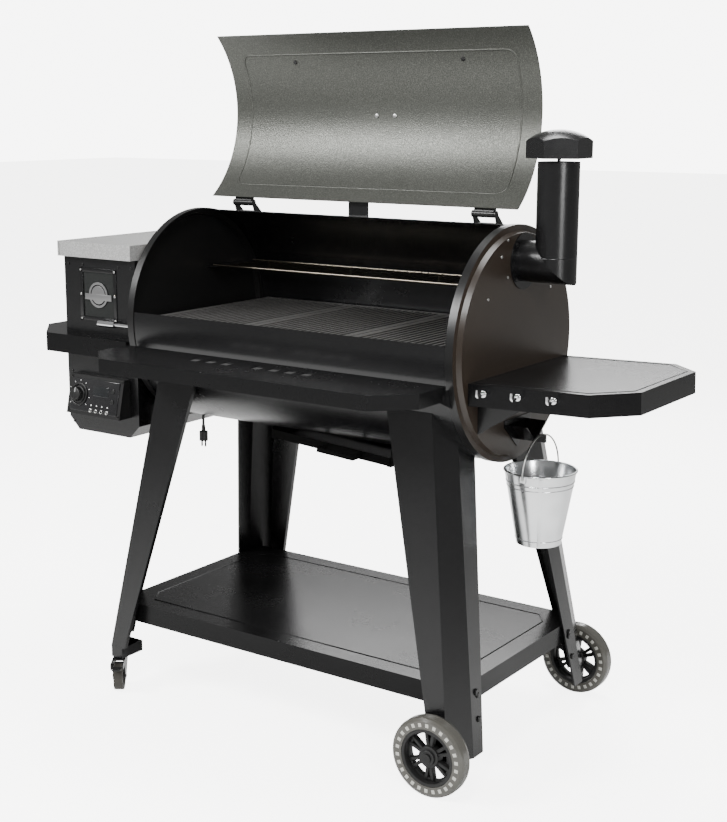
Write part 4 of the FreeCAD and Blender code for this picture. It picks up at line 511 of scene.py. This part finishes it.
def lid_details():
    """The pressed line, rolled edge and fasteners of the lid, and the plate on its outside."""
    half, low, high, corner = 412, 88.5, 163, 26
    step = math.degrees(corner / LID_FACE)
    route = []
    for sx, sa, first in ((1, 1, 0), (-1, 1, 90), (-1, -1, 180), (1, -1, 270)):
        middle_x = sx * (half - corner)
        middle_a = (high - step) if sa > 0 else (low + step)
        for i in range(7):
            turn = math.radians(first + 15 * i)
            route.append((middle_x + corner * math.cos(turn), middle_a + step * math.sin(turn)))
    points = []
    for (x1, a1), (x2, a2) in zip(route, route[1:] + route[:1]):
        count = max(1, int(abs(a2 - a1) / 2))
        points += [on_lid(x1 + (x2 - x1) * i / count, a1 + (a2 - a1) * i / count, 278.9)
                   for i in range(count)]
    bead("lid_inner_bead", points, 0.0022, lid_coat, "lid")
    right = [(464, 79.7 + 95.6 * i / 40) for i in range(41)]
    left = [(-464, 175.3 - 95.6 * i / 40) for i in range(41)]
    edge = [on_lid(x, a, 281.2) for x, a in right + left]
    bead("lid_rolled_edge", edge, 0.0018, black_coat, "lid")
    heads = [button(0.0055, 0.003, lid_frame(x, a)) for x, a in ((-242, 158.5), (265, 158.5))]
    merged(heads)
    done("lid_handle_bolt_heads", black_zinc, "lid")
    heads = [button(0.0055, 0.003, lid_frame(x, 129.5)) for x in (-5, 50)]
    merged(heads)
    done("lid_plate_rivets", zinc, "lid")
    outer = 280.6
    plate = slab(0.05, 0.13, 0.0022, lid_frame(22, 129.5, outer, False), 0.0009)
    band = slab(0.02, 0.10, 0.0034, lid_frame(22, 129.5, outer, False), 0.0009)
    merged([plate, band])
    done("lid_name_plate", zinc, "lid")


# ---------------------------------------------------------------- hopper

SLOPE = math.radians(13)
PANEL_NORMAL = Vector((0, -math.cos(SLOPE), math.sin(SLOPE)))
# The dial's place across and up the face in millimetres, and the fascia's thickness in metres.
DIAL = (-685, 776)
FASCIA = 0.0022
PANEL_UP = Vector((0, math.sin(SLOPE), math.cos(SLOPE)))


def on_panel(x, height, out=0.0):
    """A place on the sloping control face, at a height in millimetres, standing out a little."""
    y = -279 + 24 * (height - 724) / 104
    place = at(x, y, height) + PANEL_NORMAL * out
    return facing(place, PANEL_NORMAL, PANEL_UP)


def control_panel():
    """The fascia on the sloping face, with its ring, screen, marks, ports, keys and screws."""
    slab(0.172, 0.088, 0.0022, on_panel(-628, 776), 0.0009)
    done("control_fascia", gloss_black, "frame")
    ring(0.031, 0.0265, 0.004, on_panel(*DIAL, FASCIA))
    done("dial_ring", black_plastic, "frame")
    slab(0.056, 0.026, 0.0012, on_panel(-606, 790, FASCIA), 0.0005)
    done("control_screen", screen_glass, "frame")
    marks = [button(0.0022, 0.0006, on_panel(-636 + 20 * i, 752, FASCIA), 16) for i in range(4)]
    ticks = []
    for i in range(9):
        turn = math.radians(-130 + 32.5 * i)
        spot = on_panel(DIAL[0] + 38 * math.sin(turn), DIAL[1] + 37 * math.cos(turn), FASCIA)
        ticks.append(slab(0.0018, 0.0038, 0.0005, spot @ Matrix.Rotation(-turn, 4, "Z"), 0.0002, 1))
    merged(marks + ticks)
    done("control_marks", white_print, "frame")
    ports = [ring(0.0052, 0.0026, 0.003, on_panel(-636 + 20 * i, 738, FASCIA), 20) for i in range(4)]
    merged(ports)
    done("probe_ports", zinc, "frame")
    keys = [button(0.006, 0.0025, on_panel(-562, height, FASCIA), 20) for height in (795, 768)]
    merged(keys)
    done("control_keys", black_plastic, "frame")
    screws = [button(0.0035, 0.002, on_panel(x, z, 0), 12) for x in (-720, -536) for z in (732, 822)]
    merged(screws)
    done("control_screws", black_zinc, "frame")


def dial():
    """The dial: a stepped body with finger ridges round it and a pale pointer."""
    body = button(0.0222, 0.006, on_panel(*DIAL, 0.0008), 48, 0.3)
    grip = button(0.0165, 0.019, on_panel(*DIAL, 0.0008), 48, 0.12)
    bar = slab(0.008, 0.038, 0.0195, on_panel(*DIAL, 0.0008), 0.002)
    ridges = []
    for i in range(20):
        turn = on_panel(*DIAL, 0.0008) @ Matrix.Rotation(math.radians(18 * i), 4, "Z")
        ridges.append(slab(0.0014, 0.0034, 0.016, turn @ moved((0, 0.0168, 0)), 0.0005, 2))
    merged([body, grip, bar] + ridges)
    done("dial", black_plastic, "control_knob", "control_knob")
    slab(0.0016, 0.012, 0.0006, on_panel(*DIAL, 0.0201) @ moved((0, 0.011, 0)), 0.0002, 1)
    done("dial_pointer", white_print, "control_knob")


def hopper_window():
    """A bezel with screws round the window, a plain round boss held across it, and a near-black slab behind
    the glass as painted shade.
    """
    low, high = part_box("window_glass")
    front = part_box("hopper_body")[0][1]
    middle = Vector(((low[0] + high[0]) / 2, front, (low[2] + high[2]) / 2))
    face = facing(middle, Vector((0, -1, 0)))
    width, height, lap = high[0] - low[0], high[2] - low[2], 0.011
    bars = []
    for side in (-1, 1):
        bars.append(slab(lap, height, 0.0022, face @ moved((side * (width - lap) / 2, 0, 0)), 0.0008))
        bars.append(slab(width, lap, 0.0022, face @ moved((0, side * (height - lap) / 2, 0)), 0.0008))
    merged(bars)
    done("window_bezel", black_coat, "frame")
    screws = [button(0.0034, 0.0018, face @ moved((x * (width - lap) / 2, y * (height - lap) / 2, 0.0022)))
              for x in (-1, 1) for y in (-1, 0, 1)]
    merged(screws)
    done("window_screws", zinc, "frame")
    disc = ring(0.034, 0.028, 0.002, face @ moved((0, 0, 0.0003)))
    hub = button(0.0245, 0.0018, face @ moved((0, 0, 0.0003)), 40, 0.3)
    bar = slab(0.096, 0.016, 0.0022, face @ moved((0, -0.006, 0.0003)), 0.0007)
    merged([disc, hub, bar])
    done("window_boss", pale_plate, "frame")
    # Painted shade: a near-black slab just behind the glass makes the window read dark, as the shaded inside
    # of the hopper does.
    behind = facing(middle + Vector((0, 0.0085, 0)), Vector((0, -1, 0)))
    slab(width - 0.02, height - 0.02, 0.003, behind, 0.0006)
    done("painted_shade_behind_window", hopper_shade_paint, "frame")


def hopper_fasteners():
    """Screw heads on the hopper, and the seam at the corner of its lid."""
    screws = []
    for x in (-742, -690, -560, -514):
        screws.append(button(0.0034, 0.002, facing(at(x, -235, 1122), Vector((0, -1, 0))), 12))
    for x, z in ((-742, 690), (-742, 900), (-516, 900), (-742, 830)):
        screws.append(button(0.0034, 0.002, facing(at(x, -235, z), Vector((0, -1, 0))), 12))
    for y in (-200, -70, 70, 170):
        screws.append(button(0.0034, 0.002, facing(at(-758.3, y, 1122), Vector((-1, 0, 0))), 12))
    merged(screws)
    done("hopper_screws", black_zinc, "frame")
    slab(0.0012, 0.036, 0.0004, facing(at(-760, -251, 1163), Vector((0, -1, 0))), 0.0001, 1)
    done("hopper_lid_seam", black_zinc, "hopper_lid")


# ---------------------------------------------------------------- wheels


def road_wheel(body, front):
    """The centre of a wheel with paired spokes, and the pale pockets in its tyre."""
    middle = at(500, front * 367, 95)
    out = Vector((0, front, 0))
    face = facing(middle, out)

    def about(turn):
        """The wheel's own place, turned about its axle."""
        return face @ Matrix.Rotation(math.radians(turn), 4, "Z")

    start()
    bpy.ops.mesh.primitive_circle_add(vertices=72, radius=0.0677)
    bpy.ops.object.mode_set(mode="EDIT")
    bpy.ops.mesh.select_all(action="SELECT")
    bpy.ops.transform.translate(value=(0, 0, 0.0185))
    radius = 0.0677
    for narrower, along in ((0.0, -0.037), (0.0075, 0.0), (0.0015, 0.011), (0.0, 0.015), (-0.0015, 0.011)):
        bpy.ops.mesh.extrude_edges_move()
        bpy.ops.transform.translate(value=(0, 0, along))
        scale = (radius - narrower) / radius
        bpy.ops.transform.resize(value=(scale, scale, 1))
        radius -= narrower
    bpy.ops.mesh.select_all(action="SELECT")
    bpy.ops.object.mode_set(mode="OBJECT")
    rim_piece = bpy.context.active_object
    start()
    rim_piece.select_set(True)
    bpy.context.view_layer.objects.active = rim_piece
    bpy.ops.object.mode_set(mode="EDIT")
    bpy.ops.mesh.select_all(action="SELECT")
    bpy.ops.mesh.remove_doubles(threshold=0.00001)
    bpy.ops.mesh.select_all(action="DESELECT")
    bpy.ops.mesh.select_non_manifold()
    bpy.ops.mesh.bridge_edge_loops()
    bpy.ops.mesh.select_all(action="SELECT")
    bpy.ops.mesh.normals_make_consistent(inside=False)
    bpy.ops.object.mode_set(mode="OBJECT")
    apply_modifier("BEVEL", width=0.0009, segments=2, limit_method="ANGLE")
    put(face)
    parts = [rim_piece]
    hub = button(0.0185, 0.0365, face @ moved((0, 0, -0.0185)), 40, 0.06)
    shoulder = button(0.026, 0.024, face @ moved((0, 0, -0.012)), 40, 0.1)
    parts += [hub, shoulder]
    for i in range(6):
        for lean in (-9, 9):
            spoke = slab(0.0085, 0.044, 0.016, about(60 * i + lean) @ moved((0, 0.0405, -0.008)), 0.002, 2)
            parts.append(spoke)
        parts.append(slab(0.020, 0.007, 0.012, about(60 * i) @ moved((0, 0.0545, -0.006)), 0.0015, 2))
    wall = ring(0.064, 0.0545, 0.006, face @ moved((0, 0, -0.003)), 72)
    parts.append(wall)
    merged(parts)
    done(f"{body}_centre", black_plastic, body, body)
    pockets = []
    for i in range(26):
        turn = about(360 * i / 26)
        for side in (-1, 1):
            pockets.append(slab(0.0085, 0.0095, 0.0016,
                                turn @ moved((0, 0.0785, side * 0.0186 - 0.0008)), 0.0007, 2))
        pockets.append(slab(0.0085, 0.022, 0.0016, turn @ Matrix.Rotation(math.radians(-90), 4, "X")
                            @ moved((0, 0, 0.0926)), 0.0007, 2))
    merged(pockets)
    done(f"{body}_tyre_pockets", pocket_light, body)


# ---------------------------------------------------------------- shelves


def shelf_beads():
    """The pressed lines that stiffen the bottom shelf and the side shelf."""
    half_x, half_y, cut_x, cut_y = 478, 248, 30, 44
    ring_points = [(half_x, half_y - cut_y), (half_x - cut_x, half_y), (cut_x - half_x, half_y),
                   (-half_x, half_y - cut_y), (-half_x, cut_y - half_y), (cut_x - half_x, -half_y),
                   (half_x - cut_x, -half_y), (half_x, cut_y - half_y)]
    bead("bottom_shelf_bead", [at(x, y, 237.4) for x, y in ring_points], 0.0024, shelf_coat, "frame")
    lift = math.tan(math.radians(1.6))
    rear = [at(500.3 + u, v, 930.6 + u * lift)
            for u, v in ((8, 214), (286, 214), (358, 142), (358, -142), (286, -214), (8, -214))]
    bead("side_shelf_bead", rear, 0.0016, shelf_coat, "frame", closed=False)


def slot_edges():
    """Softened lips round the slots of the front shelf."""
    lips = []
    for i in (-4, -3, -2, 0, 1, 2, 3):
        place = facing(at(48 * i, -355, 932), Vector((0, 0, 1)), Vector((0, 1, 0)))
        for side in (-1, 1):
            lips.append(slab(0.0014, 0.033, 0.0009, place @ moved((side * 0.0157, 0, -0.0003)), 0.0004, 2))
            lips.append(slab(0.0328, 0.0014, 0.0009, place @ moved((0, side * 0.0157, -0.0003)), 0.0004, 2))
    merged(lips)
    done("front_shelf_slot_lips", shelf_coat, "front_shelf")


def cap_fasteners():
    """Screws on the right cap, bolts low on the legs, and washers behind the tool hooks."""
    screws = []
    for y, z in ((-64, 1236), (-62, 1152), (-92, 1200), (150, 1110), (-150, 1110)):
        screws.append(button(0.0036, 0.002, facing(at(500.0, y, z), Vector((1, 0, 0))), 12))
    merged(screws)
    done("cap_screws", zinc, "frame")
    bolts = []
    for end in (-1, 1):
        for front in (-1, 1):
            for height in (150, 205):
                drop = 845 - height
                x = end * (442 + 0.154 * drop)
                y = front * (170 + 0.13 * drop)
                bolts.append(button(0.0075, 0.004,
                                    facing(at(x, y - front * 22, height), Vector((end, 0, 0))), 16))
    merged(bolts)
    done("leg_bolts", black_zinc, "frame")
    washers = []
    for i in range(3):
        height = 911 + (40 + 86 * i) * math.sin(math.radians(1.6))
        washers.append(button(0.0082, 0.0035, facing(at(540 + 86 * i, -232, height), Vector((0, -1, 0)))))
    merged(washers)
    done("hook_washers", chrome, "frame")


# ---------------------------------------------------------------- bucket


def bucket_details():
    """The pail's pressed rings and its side seam."""
    middle = at(566, 0, 519)
    rings = []
    for share in (0.08, 0.80):
        radius = 0.053 + 0.032 * share
        start()
        bpy.ops.mesh.primitive_torus_add(major_segments=96, minor_segments=10, major_radius=radius,
                                         minor_radius=0.0011,
                                         location=middle + Vector((0, 0, 0.178 * share)))
        rings.append(bpy.context.active_object)
    merged(rings)
    done("bucket_rings", galvanised, "bucket")
    lean = math.atan2(0.032, 0.178)
    turn = math.radians(-62)
    out = Vector((math.cos(turn) * math.cos(lean), math.sin(turn) * math.cos(lean), -math.sin(lean)))
    place = middle + Vector((math.cos(turn) * 0.069, math.sin(turn) * 0.069, 0.089))
    slab(0.008, 0.172, 0.0010, facing(place, out), 0.0004, 2)
    done("bucket_seam", galvanised, "bucket")


# ---------------------------------------------------------------- cord


def cord_route():
    """Out of the hopper's back, five turns on the peg, then round and under to the hanging plug."""
    route = [at(-675, 217.5, 714), at(-668, 217.5, 713.6), at(-650, 217.6, 709.5)]
    steps = 16
    for i in range(5 * steps + 1):
        turn = 2 * math.pi * i / steps
        lay = math.radians(60 * i / steps)
        reach = (44 + 7.7 * math.cos(lay)) * 1.0145
        route.append(at(-625 + reach * math.sin(turn), 217.5 + 7.7 * math.sin(lay),
                        758 - reach * math.cos(turn)))
    route += [at(-604, 210, 708.5), at(-580, 211, 707), at(-550, 214.5, 706), at(-520, 216.5, 705.5),
              at(-500, 213, 705), at(-488, 200, 704.5), at(-485, 180, 704), at(-484.5, 122, 704),
              at(-486, 62, 703.5), at(-485, 30, 703.5), at(-485, 12, 702), at(-485, 5.5, 696),
              at(-485, 5, 684), at(-485, 5, 668)]
    return route


def power_lead():
    """The free cord as one curve, and the ties round its coil."""
    route = cord_route()
    data = bpy.data.curves.new("power_lead", "CURVE")
    data.dimensions = "3D"
    data.bevel_depth = 0.00375
    data.bevel_resolution = 4
    data.resolution_u = 6
    line = data.splines.new("NURBS")
    line.points.add(len(route) - 1)
    for spot, point in zip(line.points, route):
        spot.co = (*point, 1)
    line.order_u = 3
    line.use_endpoint_u = True
    lead = bpy.data.objects.new("power_lead", data)
    bpy.context.collection.objects.link(lead)
    data.materials.append(cord_skin)
    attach(lead, "frame")
    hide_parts("power_cord", "cord_coil")
    bands = []
    for degrees in (70, 215, 320):
        turn = math.radians(degrees)
        place = at(-625 + 44 * math.sin(turn), 217.5, 758 - 44 * math.cos(turn))
        start()
        bpy.ops.mesh.primitive_torus_add(major_segments=48, minor_segments=8, major_radius=0.0123,
                                         minor_radius=0.0008)
        bpy.ops.transform.resize(value=(1, 1, 3.2))
        put(facing(place, Vector((math.cos(turn), 0, math.sin(turn))), Vector((0, 1, 0))))
        bands.append(bpy.context.active_object)
    merged(bands)
    done("lead_ties", black_plastic, "frame")


# ---------------------------------------------------------------- chimney


def rain_cap():
    """A six-sided cap with a domed crown, hollow below, on its threaded rod."""
    foot = at(582, 15, 1420)
    start()
    bpy.ops.mesh.primitive_uv_sphere_add(segments=96, ring_count=64, radius=1, location=foot)
    dome = bpy.context.active_object
    dome.scale = (0.0935, 0.0935, 0.064)
    bpy.ops.object.transform_apply(location=True, rotation=True, scale=True)
    start()
    middle = foot + Vector((0, 0, 0.04))
    bpy.ops.mesh.primitive_cylinder_add(vertices=6, radius=0.075, depth=0.08, location=middle)
    skirt = bpy.context.active_object
    bpy.ops.object.transform_apply(location=True, rotation=True, scale=True)
    modifier = skirt.modifiers.new("crown", "BOOLEAN")
    modifier.operation = "INTERSECT"
    modifier.object = dome
    bpy.ops.object.modifier_apply(modifier="crown")
    bpy.data.objects.remove(dome)
    bpy.ops.object.mode_set(mode="EDIT")
    bpy.ops.mesh.select_all(action="SELECT")
    bpy.ops.mesh.remove_doubles(threshold=0.0001)
    bpy.ops.mesh.select_all(action="DESELECT")
    bpy.ops.object.mode_set(mode="OBJECT")
    for face in skirt.data.polygons:
        face.select = face.normal.z < -0.9
    bpy.ops.object.mode_set(mode="EDIT")
    bpy.ops.mesh.delete(type="FACE")
    bpy.ops.object.mode_set(mode="OBJECT")
    apply_modifier("SOLIDIFY", thickness=0.002, offset=-1)
    start()
    middle = foot + Vector((0, 0, 0.024))
    bpy.ops.mesh.primitive_cylinder_add(vertices=24, radius=0.004, depth=0.074, location=middle)
    rod = bpy.context.active_object
    merged([skirt, rod])
    done("rain_cap", black_coat, "chimney_cap", "chimney_cap", smooth=28)
    start()
    bpy.ops.mesh.primitive_torus_add(major_segments=96, minor_segments=8, major_radius=0.048,
                                     minor_radius=0.0007, location=at(582, 15, 1196))
    done("pipe_seam", black_coat, "frame")


lid_details()
control_panel()
dial()
hopper_window()
hopper_fasteners()
road_wheel("front_wheel", -1)
road_wheel("rear_wheel", 1)
shelf_beads()
slot_edges()
cap_fasteners()
bucket_details()
power_lead()
rain_cap()
